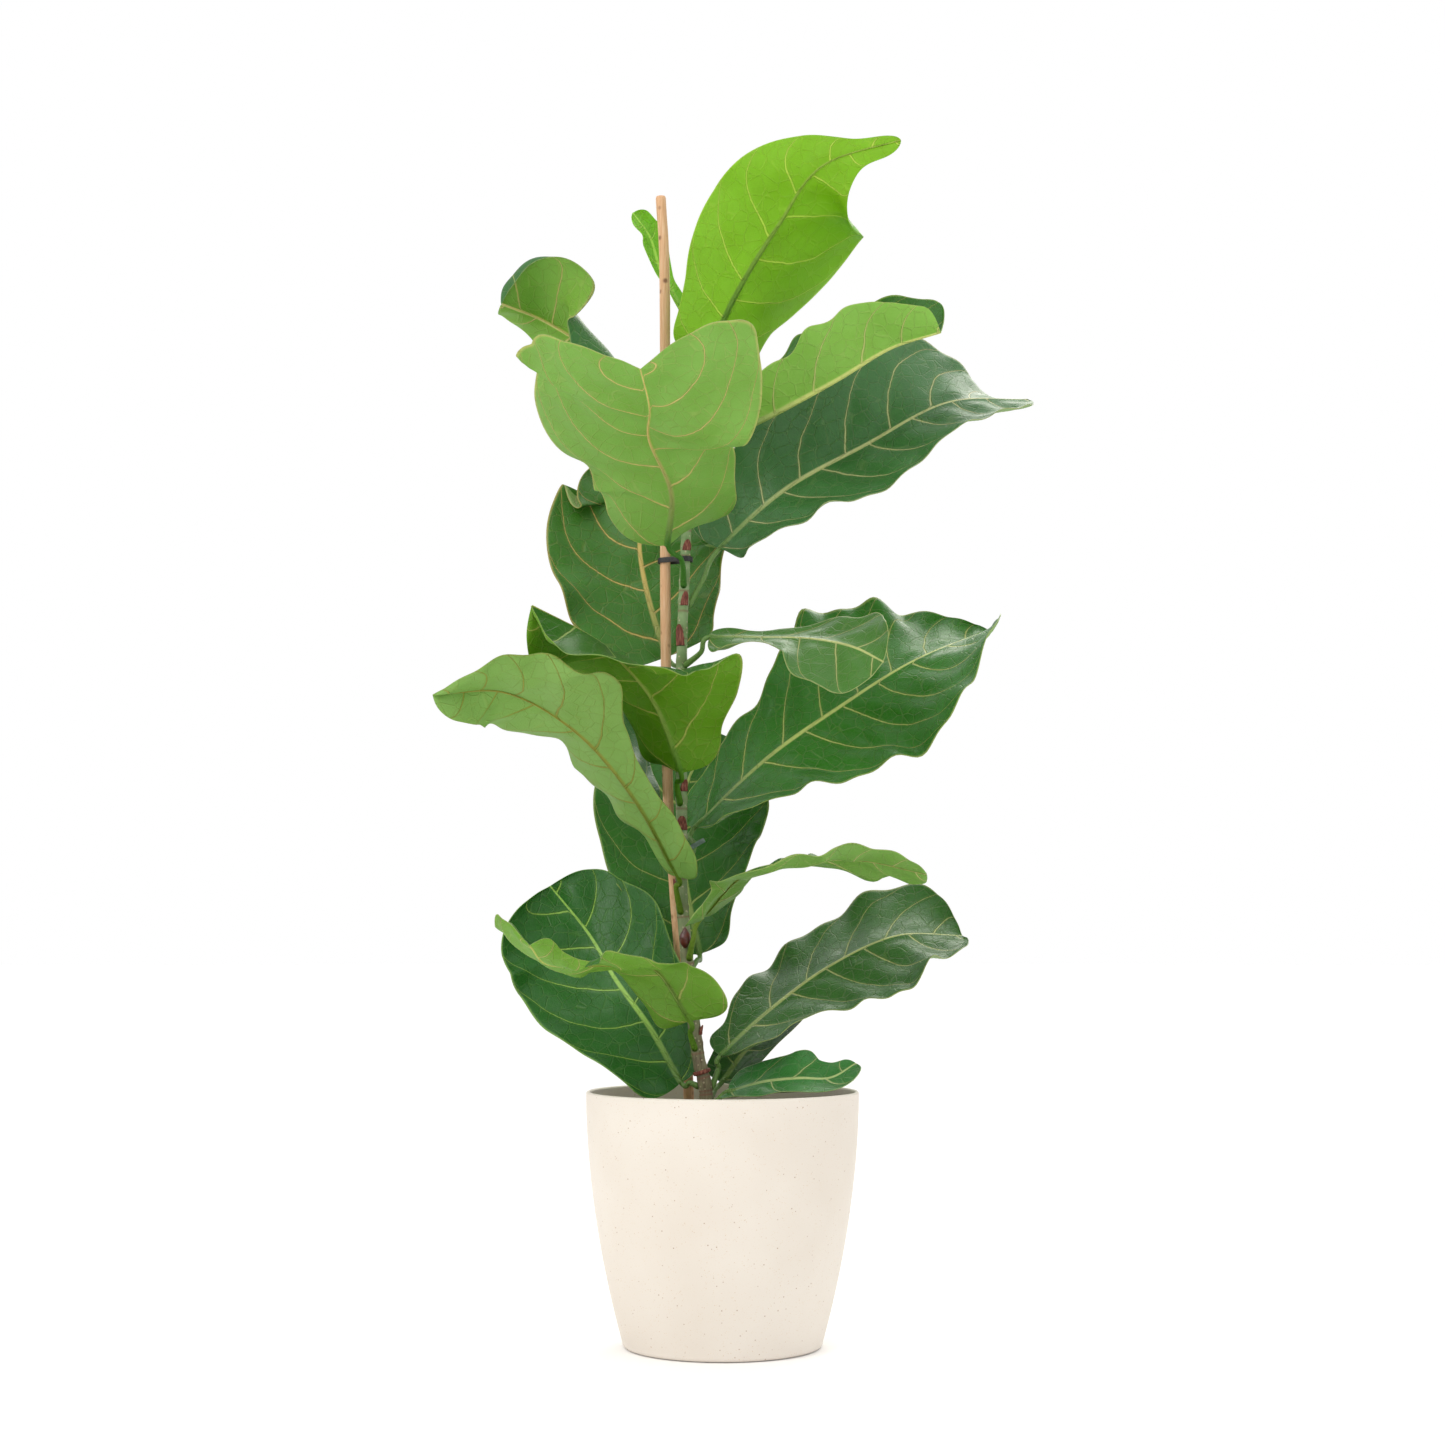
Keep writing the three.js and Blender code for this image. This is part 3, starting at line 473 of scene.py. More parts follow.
# --------------------------------------------------------------------------------- leaves
# Each leaf grew as one piece: a stalk that runs on as the midrib under a thick, waxy, fiddle
# shaped blade. The blade is puckered between its side veins, wavy at the margin, dark and shiny
# above, paler and matt below. Young leaves at the top are thin enough to glow in the light.
#
# Each is placed from the stem's axis at its own height, in millimetres:
#   stalk  a point half way along the stalk
#   rib    the midrib from the blade's base to its tip, at each quarter
#   face   which way the upper side looks at the base, the middle and the tip
#   left, right            how far each half spreads, at each eighth of the blade
#   lift_left, lift_right  degrees each half is folded up, at the base, the middle and the tip
#   sweep  how far the margin runs ahead of the midrib, at the base and the tip, per mm of reach
#   curl   degrees that each half bends up between midrib and margin, left and right
#   upper, under           colours of the blade and of its veins on each side
#   stalk_green            colour of the stalk, and how far up the midrib it goes, if unusual
#   ripple                 how far the margin waves, per mm of reach, if unusual
leaves = [
    dict(
        name="leaf_crown", height=666, stalk=[12, -8, 24], slot="leaf_bright",
        rib=[[18, -24, 38], [46, -24, 100], [84, -28, 162], [124, -60, 208], [196, -80, 226]],
        face=[[-0.1, 1, 0.2], [-0.2, 1, 0.2], [-0.1, 1, 0]],
        left=[50, 58, 76, 88, 84, 64, 18], right=[42, 50, 64, 70, 66, 38, 14],
        lift_left=[20, 30, -25], lift_right=[20, 20, 15], sweep=[-0.25, -0.1], curl=[25, 25],
        ripple=0.04,
        upper=("#7DBE24", "#B2D94C"), under=("#8CC21C", "#CDE45C"),
        stalk_green=("#4A7E14", 1.5),
    ),
    dict(
        name="leaf_young", height=700, stalk=[-2, 10, 20], slot="leaf_bright",
        rib=[[-2, 16, 50], [-14, 24, 76], [-28, 34, 104], [-38, 34, 136], [-54, 22, 156]],
        face=[[0.4, -0.7, 0.6], [0.4, -0.7, 0.5], [0.3, -0.8, 0.5]],
        left=[8, 8, 10, 12, 16, 16, 16], right=[10, 8, 8, 12, 14, 18, 16],
        lift_left=[25, 20, 10], lift_right=[20, 15, 10], sweep=[-0.2, 0], curl=[25, 25],
        upper=("#8FCB38", "#BEE36A"), under=("#9AD43C", "#C9EA72"),
        stalk_green=("#86B53A", 0.5),
    ),
    dict(
        name="leaf_upper_left", height=592, stalk=[-14, -10, 20], slot="leaf_bright",
        rib=[[-26, -12, 34], [-52, -44, 58], [-82, -52, 104], [-130, -56, 136], [-168, -96, 142]],
        face=[[0.2, 0.9, 0.3], [0.4, 0.8, 0.4], [0.6, 0.8, 0]],
        left=[38, 42, 48, 56, 58, 50, 80], right=[42, 42, 46, 54, 46, 26, 20],
        lift_left=[-30, -85, 10], lift_right=[10, 5, 15], sweep=[-0.2, -0.1], curl=[-80, 25],
        upper=("#3F7A38", "#B9CC7C"), under=("#92C452", "#DCD08A"),
    ),
    dict(
        name="leaf_upper_front", height=491, stalk=[-2, -28, 20], slot="leaf_bright",
        rib=[[-14, -50, 30], [-10, -100, 70], [-28, -148, 108], [-26, -208, 122], [-32, -270, 140]],
        face=[[0.1, 0.6, 0.8], [0.1, 0.6, 0.8], [0.1, 0.6, 0.8]],
        left=[72, 58, 72, 82, 86, 96, 100], right=[60, 72, 78, 100, 104, 114, 92],
        lift_left=[60, -10, 25], lift_right=[10, 10, 10], sweep=[-0.25, 0.6], curl=[25, 25],
        upper=("#5E9A34", "#D2DC8C"), under=("#8FC058", "#E3CF86"),
        stalk_green=("#4E8A2E", 0.5),
    ),
    dict(
        name="leaf_upper_right", height=599, stalk=[22, -12, 16], slot="leaf_bright",
        rib=[[42, -14, 34], [90, -38, 54], [140, -54, 78], [186, -60, 104], [230, -86, 112]],
        face=[[-0.3, 0.2, 0.9], [-0.9, 0.2, 0.5], [-0.6, 0.6, 0.5]],
        left=[50, 54, 62, 72, 80, 74, 58], right=[48, 40, 40, 56, 46, 50, 32],
        lift_left=[65, 60, 60], lift_right=[60, 60, 60], sweep=[-0.2, 0], curl=[25, 25],
        upper=("#3F7A2C", "#B7C871"), under=("#95CC55", "#D6DC86"),
    ),
    dict(
        name="leaf_high_right", height=472, stalk=[18, 12, 26], slot="leaf_dark",
        rib=[[34, 32, 60], [96, 30, 116], [174, 42, 162], [254, 52, 206], [334, 72, 214]],
        face=[[-0.3, -0.7, 0.6], [-0.3, -0.8, 0.5], [-0.4, -0.7, 0.7]],
        left=[60, 62, 72, 84, 94, 96, 80], right=[60, 70, 84, 90, 72, 70, 60],
        lift_left=[15, 50, -30], lift_right=[20, 15, 20], sweep=[-0.2, 0], curl=[25, 25],
        upper=("#437A3E", "#C9CC8E"), under=("#86A965", "#C9C88F"),
    ),
    dict(
        name="leaf_high_back", height=406, stalk=[-3, 20, 10], slot="leaf_dark",
        rib=[[-14, 30, 22], [-32, 46, 78], [-42, 64, 138], [-32, 86, 190], [-66, 102, 234]],
        face=[[0, -0.9, 0.4], [0.1, -0.9, 0.5], [0.1, -0.9, 0.4]],
        left=[62, 78, 84, 90, 88, 82, 76], right=[54, 68, 76, 84, 90, 90, 80],
        lift_left=[10, 5, 10], lift_right=[20, 10, 10], sweep=[-0.2, 0], curl=[25, 25],
        upper=("#407A26", "#D2B86A"), under=("#82A75C", "#C7C489"),
    ),
    dict(
        name="leaf_small_right", height=416, stalk=[18, -18, 10], slot="leaf_dark",
        rib=[[26, -22, 24], [74, -26, 24], [118, -46, 20], [154, -80, 8], [180, -114, -10]],
        face=[[0, -0.5, 0.8], [-0.3, -0.4, 0.9], [-0.5, -0.7, 0.6]],
        left=[14, 12, 22, 38, 38, 42, 32], right=[38, 16, 24, 40, 54, 52, 50],
        lift_left=[5, 0, 30], lift_right=[0, 0, -10], sweep=[-0.2, 0], curl=[25, 25],
        upper=("#4D8233", "#C3C980"), under=("#8DB066", "#C5C588"),
    ),
    dict(
        name="leaf_arched", height=287, stalk=[-4, -16, 18], slot="leaf_bright",
        rib=[[0, -34, 26], [-22, -64, 86], [-54, -102, 124], [-80, -146, 140], [-126, -176, 160]],
        face=[[0.2, 0.8, 0.6], [0.3, 0.6, 0.8], [0.3, 0.2, 0.9]],
        left=[44, 76, 100, 86, 82, 76, 84], right=[60, 62, 64, 74, 76, 66, 50],
        lift_left=[30, -10, -45], lift_right=[45, 5, -80], sweep=[-0.2, -0.1], curl=[25, 25],
        upper=("#3D7A26", "#B9D07A"), under=("#6FA51E", "#C3C964"),
        stalk_green=("#5C8F1E", 0.6),
    ),
    dict(
        name="leaf_narrow_left", height=252, stalk=[-8, -14, 12], slot="leaf_dark",
        rib=[[-18, -20, 20], [-36, -14, 40], [-48, -6, 78], [-82, 2, 116], [-118, 10, 152]],
        face=[[0.6, -0.8, 0.2], [0.8, -0.6, 0.2], [0.5, -0.8, 0.3]],
        left=[26, 30, 36, 44, 50, 50, 46], right=[16, 26, 34, 44, 50, 50, 46],
        lift_left=[0, 0, 0], lift_right=[10, -15, 5], sweep=[-0.2, 0], curl=[25, 25],
        upper=("#2E6C26", "#A9BF6B"), under=("#7FA45C", "#BFC186"),
    ),
    dict(
        name="leaf_broad_right", height=222, stalk=[12, 14, 26], slot="leaf_dark",
        rib=[[12, 28, 44], [78, 26, 108], [148, 32, 158], [220, 48, 204], [296, 78, 238]],
        face=[[-0.5, -0.5, 0.7], [-0.2, -0.9, 0.5], [-0.5, -0.5, 0.7]],
        left=[52, 56, 62, 88, 106, 100, 90], right=[60, 66, 76, 88, 104, 102, 80],
        lift_left=[-5, 5, 5], lift_right=[25, 5, 35], sweep=[-0.15, 0], curl=[25, 25],
        upper=("#327A1A", "#BFCB72"), under=("#7FA85A", "#C4C583"),
    ),
    dict(
        name="leaf_long_left", height=187, stalk=[-6, -18, 22], slot="leaf_bright",
        rib=[[-4, -26, 32], [-38, -68, 96], [-88, -116, 154], [-148, -168, 186], [-206, -222, 178]],
        face=[[0.5, 0.7, 0.5], [0.5, 0.8, 0.4], [0.5, 0.8, 0.3]],
        left=[36, 26, 26, 44, 76, 70, 58], right=[24, 46, 56, 36, 50, 42, 30],
        lift_left=[-20, 5, -40], lift_right=[15, 15, -40], sweep=[-0.25, -0.1], curl=[25, 25],
        upper=("#4C8A30", "#B9CC72"), under=("#93BE62", "#A9A548"),
        stalk_green=("#6F8F22", 0.5),
    ),
    dict(
        name="leaf_thin_right", height=144, stalk=[6, -16, 18], slot="leaf_bright",
        rib=[[12, -20, 36], [46, -44, 74], [88, -80, 86], [152, -104, 88], [210, -134, 74]],
        face=[[-0.2, 0, 1], [0, -0.1, 1], [0.1, 0.5, 0.9]],
        left=[60, 48, 46, 56, 66, 66, 32], right=[50, 40, 56, 60, 64, 58, 32],
        lift_left=[10, 0, -5], lift_right=[-15, -5, 0], sweep=[-0.2, 0], curl=[25, 25],
        upper=("#4E8A36", "#BFCF7C"), under=("#7FAE4E", "#C6C781"),
        stalk_green=("#7C9A30", 0.5),
    ),
    dict(
        name="leaf_mid_back", height=134, stalk=[8, 20, 8], slot="leaf_dark",
        rib=[[10, 52, 14], [-2, 74, 72], [-8, 92, 126], [-2, 108, 182], [28, 126, 230]],
        face=[[0, -0.9, 0.5], [0, -0.9, 0.5], [0, -0.9, 0.5]],
        left=[52, 56, 70, 78, 86, 86, 76], right=[36, 52, 66, 78, 86, 86, 76],
        lift_left=[5, 5, 10], lift_right=[25, 15, 10], sweep=[-0.2, 0], curl=[25, 25],
        upper=("#337221", "#AFC06A"), under=("#7A9F56", "#BDBE80"),
    ),
    dict(
        name="leaf_low_front", height=62, stalk=[-6, -18, 14], slot="leaf_bright",
        rib=[[-6, -34, 26], [-36, -54, 74], [-76, -92, 78], [-126, -126, 78], [-140, -176, 94]],
        face=[[0.1, 0.6, 0.8], [0.5, 0.6, 0.6], [0.2, 0, 1]],
        left=[46, 42, 50, 58, 60, 52, 24], right=[44, 52, 50, 58, 62, 62, 54],
        lift_left=[10, -15, 40], lift_right=[5, 10, 30], sweep=[-0.3, 0], curl=[25, 25],
        upper=("#3F7E2C", "#B4C870"), under=("#7DB23C", "#C9CC74"),
        stalk_green=("#6E9A2E", 0.6),
    ),
    dict(
        name="leaf_low_left", height=28, stalk=[-14, 3, 2], slot="leaf_dark",
        rib=[[-22, 8, 2], [-50, 16, 50], [-84, 34, 96], [-110, 52, 138], [-148, 64, 184]],
        face=[[0.1, -0.8, 0.5], [-0.05, -0.9, 0.4], [0, -0.75, 0.6]],
        left=[50, 60, 70, 82, 86, 90, 86], right=[24, 46, 58, 66, 70, 68, 54],
        lift_left=[20, 5, 15], lift_right=[20, 28, 10], sweep=[-0.2, 0], curl=[25, 25],
        upper=("#2E6C26", "#9CC75A"), under=("#7B9F58", "#BDC183"),
    ),
    dict(
        name="leaf_low_right", height=25, stalk=[12, 6, 18], slot="leaf_dark",
        rib=[[14, 4, 30], [60, 24, 72], [116, 42, 112], [180, 54, 140], [244, 70, 140]],
        face=[[-0.2, -0.5, 0.8], [-0.3, -0.6, 0.8], [-0.2, -0.5, 0.8]],
        left=[24, 44, 56, 64, 70, 74, 78], right=[50, 48, 52, 68, 80, 80, 62],
        lift_left=[20, -5, 15], lift_right=[30, -5, 20], sweep=[-0.15, 0], curl=[25, 25],
        upper=("#396D29", "#B9C27A"), under=("#7E9F5E", "#BFBE86"),
    ),
    dict(
        name="leaf_shaded", height=13, stalk=[8, 20, 10], slot="leaf_dark",
        rib=[[14, 30, 16], [34, 46, 42], [60, 62, 68], [78, 88, 90], [96, 118, 104]],
        face=[[-0.3, -0.8, 0.5], [-0.4, -0.8, 0.5], [-0.3, -0.8, 0.5]],
        left=[22, 26, 32, 38, 42, 42, 38], right=[28, 30, 34, 36, 40, 42, 38],
        lift_left=[15, 15, 10], lift_right=[15, 20, 10], sweep=[-0.2, 0], curl=[25, 25],
        upper=("#376D29", "#A9B86E"), under=("#7A9A58", "#B9BA80"),
    ),
    dict(
        name="leaf_rim", height=11, stalk=[10, -10, 4], slot="leaf_dark",
        rib=[[20, -12, 12], [50, -28, 22], [82, -40, 26], [112, -36, 26], [136, -22, 38]],
        face=[[0, -0.4, 1], [0, -0.5, 1], [-0.2, -0.5, 1]],
        left=[24, 28, 32, 34, 32, 26, 14], right=[28, 28, 30, 30, 26, 24, 18],
        lift_left=[15, 15, 20], lift_right=[5, 0, 5], sweep=[-0.2, 0], curl=[25, 25],
        upper=("#3F833E", "#BFD08A"), under=("#86AD66", "#C6CB8E"),
    ),
]
usual_stalk_green = ("#6E9448", 0.35)
usual_ripple = 0.08
pucker_height = 3.4 * mm
stalk_radius = 2.3 * mm
stalk_flare = 1.35
rib_tip_radius = 0.5 * mm
blade_thickness = 0.9 * mm
margin_thickness = 0.6 * mm
seat_clearance = 0.45 * mm
end_rounding = 1 / 8
vein_spacing = 44 * mm
ripple_length = 66 * mm
blade_rows = 130
stalk_rows = 24
leaf_columns = 65


def between(low, high, value):
    """Smooth step from 0 at low to 1 at high."""
    share = np.clip((value - low) / (high - low), 0, 1)
    return share * share * (3 - 2 * share)


def values_along(values, t):
    """Smooth line through evenly spaced numbers."""
    return smooth_line(np.asarray(values, float)[:, None], t)[:, 0]


def square_to(vectors, forward):
    """The vectors with their part along forward taken out, at length 1."""
    return unit(vectors - forward * (vectors * forward).sum(-1, keepdims=True))


def leaf_grid(leaf, rng):
    """Rings round the leaf from the stem to the tip, upper side left to right, then lower side.

    A blade point at t from base to tip and a from -1 to 1 across is the midrib's point plus
    |a| times the reach, turned up by the lift less the curl. It is rippled at the margin by sines
    of the length, raised between the side veins, and thickened along its normal. The midrib adds
    half a circle below. The stalk's rings are full circles on the same columns.
    """
    row = np.interp(leaf["height"], stem_height, np.arange(len(stem_line)))
    root = np.array([np.interp(row, np.arange(len(stem_line)), stem_line[:, k]) for k in range(3)])
    rising = unit(stem_line[int(row) + 1] - stem_line[int(row)])
    stem_here = stem_root_radius + (stem_tip_radius - stem_root_radius) * row / len(stem_line)
    stalk = np.array(leaf["stalk"]) * mm
    outward = square_to(stalk * [1, 1, 0], rising)
    seat = root + outward * (stem_here + seat_clearance)
    path = np.vstack([seat, root + stalk, root + np.array(leaf["rib"]) * mm])
    blade_start = 2 / (len(path) - 1)

    t = (1 - np.cos(np.pi * np.linspace(0, 1, blade_rows))) / 2
    place = blade_start + (1 - blade_start) * t
    rib = smooth_line(path, place)
    step = 1e-3
    forward = unit(smooth_line(path, place + step) - smooth_line(path, place - step))
    up = square_to(smooth_line(leaf["face"], t), forward)
    sideways = np.cross(forward, up)
    length = np.linalg.norm(np.diff(rib, axis=0), axis=1).sum()

    spread = np.linspace(-1, 1, leaf_columns)
    across = np.sign(spread) * np.abs(spread) ** 1.5
    share = np.abs(across)[None]
    base_end = np.minimum(t / end_rounding, 1)
    tip_end = np.minimum((1 - t) / end_rounding, 1)
    rounded = np.sqrt(1 - (1 - base_end) ** 2) * np.sqrt(1 - (1 - tip_end) ** 2)
    rib_radius = stalk_radius + (rib_tip_radius - stalk_radius) * t
    distance = np.zeros((blade_rows, leaf_columns))
    tilt = np.zeros_like(distance)
    ripple = np.zeros_like(distance)
    for side, columns in (("left", across < 0), ("right", across >= 0)):
        reach = leaf[side]
        full = values_along([reach[0], *reach, reach[-1]], t) * mm
        reach_here = np.maximum(full * rounded, rib_radius)
        curl = leaf["curl"][0 if side == "left" else 1]
        lift = values_along(leaf[f"lift_{side}"], t)[:, None] - curl * (1 - share[:, columns])
        distance[:, columns] = reach_here[:, None] * share[:, columns]
        tilt[:, columns] = np.radians(lift)
        shift = rng.uniform(0, 2 * np.pi, 3)
        wave = np.sin(2 * np.pi * t * length / ripple_length + shift[0])
        wave += 0.6 * np.sin(2 * np.pi * t * length / (0.57 * ripple_length) + shift[1])
        wave *= 0.7 + 0.3 * np.sin(5 * t + shift[2])
        size = leaf.get("ripple", usual_ripple) * reach_here
        ripple[:, columns] = (size * wave)[:, None] * share[:, columns] ** 3
    sign = np.where(across < 0, -1, 1)[None]
    sweep = leaf["sweep"][0] + (leaf["sweep"][1] - leaf["sweep"][0]) * t[:, None]
    phase = (t[:, None] * length - distance * (0.5 + 0.55 * share ** 2)) / vein_spacing
    phase = phase + 0.5 * between(-0.03, 0.03, across)[None]
    phase = phase + 0.1 * np.sin(9 * t + rng.uniform(0, 6))[:, None]
    pucker = pucker_height * (0.5 + 0.5 * np.cos(2 * np.pi * phase)) ** 0.7
    pucker = pucker * between(2 * mm, 18 * mm, distance) * (1 - 0.6 * share ** 3)
    rise = distance * np.sin(tilt) + ripple + pucker
    middle = rib[:, None] + (distance * np.cos(tilt) * sign)[..., None] * sideways[:, None]
    middle = middle + rise[..., None] * up[:, None]
    middle = middle + (distance * sweep * share)[..., None] * forward[:, None]

    over = np.gradient(middle, axis=1)
    along = np.gradient(middle, axis=0)
    first, last = np.searchsorted(t, [0.02, 0.98])
    normal = unit(np.cross(over, along))
    normal[:first] = normal[first]
    normal[last:] = normal[last - 1]
    r = rib_radius[:, None]
    flat = between(0.0, 0.1, t)[:, None]
    circle = np.sqrt(np.maximum(r ** 2 - distance ** 2, 0))
    half = (blade_thickness + (margin_thickness - blade_thickness) * share) / 2
    half = half * (0.1 + 0.9 * flat)
    upper = half + (1 - flat) * circle - 0.35 * flat * r * np.exp(-(distance / (1.3 * r)) ** 2)
    lower = half + circle + 0.9 * flat * r * np.exp(-(distance / (1.5 * r)) ** 2)
    blade = np.concatenate([
        middle + upper[..., None] * normal, (middle - lower[..., None] * normal)[:, ::-1],
    ], axis=1)

    down = np.linspace(0, 1, stalk_rows, endpoint=False)
    centre = smooth_line(path, blade_start * down)
    axis = unit(np.gradient(centre, axis=0))
    axis[0] = outward
    top = square_to(np.broadcast_to(np.array(leaf["face"][0], float), centre.shape), axis)
    right = np.cross(axis, top)
    radius = stalk_radius * (stalk_flare + (1 - stalk_flare) * np.minimum(2 * down, 1))[:, None]
    wide = across[None] * radius
    high = np.sqrt(np.maximum(radius ** 2 - wide ** 2, 0)) + 0.045 * mm
    stem_side = centre[:, None] + wide[..., None] * right[:, None]
    above = stem_side + high[..., None] * top[:, None]
    below = stem_side - high[..., None] * top[:, None]
    stalk_rings = np.concatenate([above, below[:, ::-1]], axis=1)

    def ring_values(blade_values, stalk_value):
        both = np.concatenate([blade_values, blade_values[:, ::-1]], axis=1)
        return np.vstack([np.full((stalk_rows, 2 * leaf_columns), stalk_value), both])

    uv = np.stack([
        ring_values(phase, 0.0), ring_values(np.broadcast_to(across, phase.shape), 0.0),
    ], 2)
    from_rib = ring_values(distance / r, 0.0)
    tip_share = ring_values(np.broadcast_to(t[:, None], phase.shape), 0.0)
    return np.vstack([stalk_rings, blade]), uv, {"from_rib": from_rib, "tip_share": tip_share}


def leaf_skin(name, blade, vein, upper, glow, stalk, fresh_until):
    """Fiddle fig leaf, one side of it, as a thin cuticle over green tissue.

    Above, the cuticle is thick wax: shiny, with sunken veins. Below it is matt, and the veins
    stand out pale. Light also comes through from the other side, by the share glow. The midrib
    is as green as the stalk at the base and has the veins' colour from fresh_until on.
    """
    material, tree = new_material(name)
    place = node(tree, "ShaderNodeTexCoord").node.outputs["Object"]
    veins = node(tree, "ShaderNodeUVMap", uv_map="surface")
    split = node(tree, "ShaderNodeSeparateXYZ", {0: veins}).node
    from_rib = node(tree, "ShaderNodeAttribute", attribute_name="from_rib").node.outputs["Fac"]
    out = node(tree, "ShaderNodeMath", {0: split.outputs["Y"]}, operation="ABSOLUTE")

    cloud = node(tree, "ShaderNodeTexNoise", {"Vector": place, "Scale": 26.0, "Detail": 4.0})
    bend = node(tree, "ShaderNodeMapRange", {0: cloud, 3: -0.10, 4: 0.10})
    wavy = node(tree, "ShaderNodeMath", {0: split.outputs["X"], 1: bend}, operation="ADD")
    part = node(tree, "ShaderNodeMath", {0: wavy}, operation="FRACT")
    centred = node(tree, "ShaderNodeMath", {0: part, 1: 0.5}, operation="SUBTRACT")
    away = node(tree, "ShaderNodeMath", {0: centred}, operation="ABSOLUTE")
    width = node(tree, "ShaderNodeMapRange", {0: out, 3: 0.026, 4: 0.012})
    scaled = node(tree, "ShaderNodeMath", {0: away, 1: width}, operation="DIVIDE")
    side_vein = node(tree, "ShaderNodeMapRange", {0: scaled, 1: 0.55, 2: 1.25, 3: 1.0, 4: 0.0})
    halo = node(tree, "ShaderNodeMapRange", {0: away, 1: 0.0, 2: 0.10, 3: 1.0, 4: 0.0})
    midrib = node(tree, "ShaderNodeMapRange", {0: from_rib, 1: 0.9, 2: 1.7, 3: 1.0, 4: 0.0})

    # the net between the side veins, cells of about 12 mm and 3 mm
    coarse = node(
        tree, "ShaderNodeTexVoronoi", {"Vector": place, "Scale": 80.0}, feature="DISTANCE_TO_EDGE",
    )
    fine = node(
        tree, "ShaderNodeTexVoronoi", {"Vector": place, "Scale": 300.0}, feature="DISTANCE_TO_EDGE",
    )
    coarse_net = node(tree, "ShaderNodeMapRange", {0: coarse, 1: 0.01, 2: 0.05, 3: 1.0, 4: 0.0})
    fine_net = node(tree, "ShaderNodeMapRange", {0: fine, 1: 0.02, 2: 0.10, 3: 1.0, 4: 0.0})

    deep = node(tree, "ShaderNodeHueSaturation", {
        "Saturation": 1.05, "Value": 0.80 if upper else 0.90, "Color": blade,
    })
    tissue = node(tree, "ShaderNodeMapRange", {0: cloud, 1: 0.3, 2: 0.7})
    green = node(tree, "ShaderNodeMix", {0: tissue, 6: deep, 7: blade}, data_type="RGBA")
    soft = node(tree, "ShaderNodeMath", {0: halo, 1: 0.08}, operation="MULTIPLY")
    green = node(tree, "ShaderNodeMix", {0: soft, 6: green, 7: vein}, data_type="RGBA")
    net = node(tree, "ShaderNodeMath", {0: fine_net, 1: 0.3, 2: coarse_net}, operation="MULTIPLY_ADD")
    thin = node(tree, "ShaderNodeMath", {0: net, 1: 0.07 if upper else 0.12}, operation="MULTIPLY")
    green = node(tree, "ShaderNodeMix", {0: thin, 6: green, 7: vein}, data_type="RGBA")
    strong = node(tree, "ShaderNodeMath", {0: side_vein, 1: 0.85}, operation="MULTIPLY")
    green = node(tree, "ShaderNodeMix", {0: strong, 6: green, 7: vein}, data_type="RGBA")
    grown = node(tree, "ShaderNodeAttribute", attribute_name="tip_share").node.outputs["Fac"]
    ageing = node(tree, "ShaderNodeMapRange", {0: grown, 1: 0.02, 2: fresh_until})
    rib = node(tree, "ShaderNodeMix", {0: ageing, 6: stalk, 7: vein}, data_type="RGBA")
    green = node(tree, "ShaderNodeMix", {0: midrib, 6: green, 7: rib}, data_type="RGBA")
    rim = node(tree, "ShaderNodeMapRange", {0: out, 1: 0.975, 2: 0.995, 3: 0.0, 4: 0.55})
    green = node(tree, "ShaderNodeMix", {0: rim, 6: green, 7: vein}, data_type="RGBA")

    lines = node(tree, "ShaderNodeMath", {0: net, 1: 0.3, 2: side_vein}, operation="MULTIPLY_ADD")
    relief = node(
        tree, "ShaderNodeBump", {"Height": lines, "Strength": 0.9, "Distance": 0.0014},
        invert=upper,
    )
    low, high = (0.30, 0.42) if upper else (0.50, 0.62)
    rough = node(tree, "ShaderNodeMapRange", {0: cloud, 1: 0.3, 2: 0.7, 3: low, 4: high})
    skin = node(tree, "ShaderNodeBsdfPrincipled", {
        "Base Color": green, "Roughness": rough, "Normal": relief, "IOR": 1.45,
        "Coat Weight": 0.06 if upper else 0.0, "Coat Roughness": 0.2,
    })
    lit = node(tree, "ShaderNodeHueSaturation", {"Saturation": 1.02, "Value": 1.35, "Color": green})
    through = node(tree, "ShaderNodeBsdfTranslucent", {"Color": lit, "Normal": relief})
    both = node(tree, "ShaderNodeMixShader", {0: glow, 1: skin, 2: through})
    node(tree, "ShaderNodeOutputMaterial", {"Surface": both})
    return material


for number, leaf in enumerate(leaves):
    grid, uv, extra = leaf_grid(leaf, np.random.default_rng(100 + number))
    piece = surface(f"{leaf['name']}_blade", grid, uv=uv, extra=extra)
    column = np.arange(2 * leaf_columns)
    side_of_column = np.where((column >= leaf_columns) & (column < 2 * leaf_columns - 1), 1, 0)
    sides = np.tile(side_of_column, len(grid) - 1)
    spare = len(piece.data.polygons) - len(sides)
    piece.data.polygons.foreach_set("material_index", np.r_[sides, np.zeros(spare, int)])
    glow = 0.34 if leaf["slot"] == "leaf_bright" else 0.16
    stalk = leaf.get("stalk_green", usual_stalk_green)
    fit(
        piece, leaf["name"], leaf["slot"],
        leaf_skin(f"{leaf['name']}_upper_cuticle", *leaf["upper"], True, glow, *stalk),
        leaf_skin(f"{leaf['name']}_under_cuticle", *leaf["under"], False, glow, *stalk),
    )

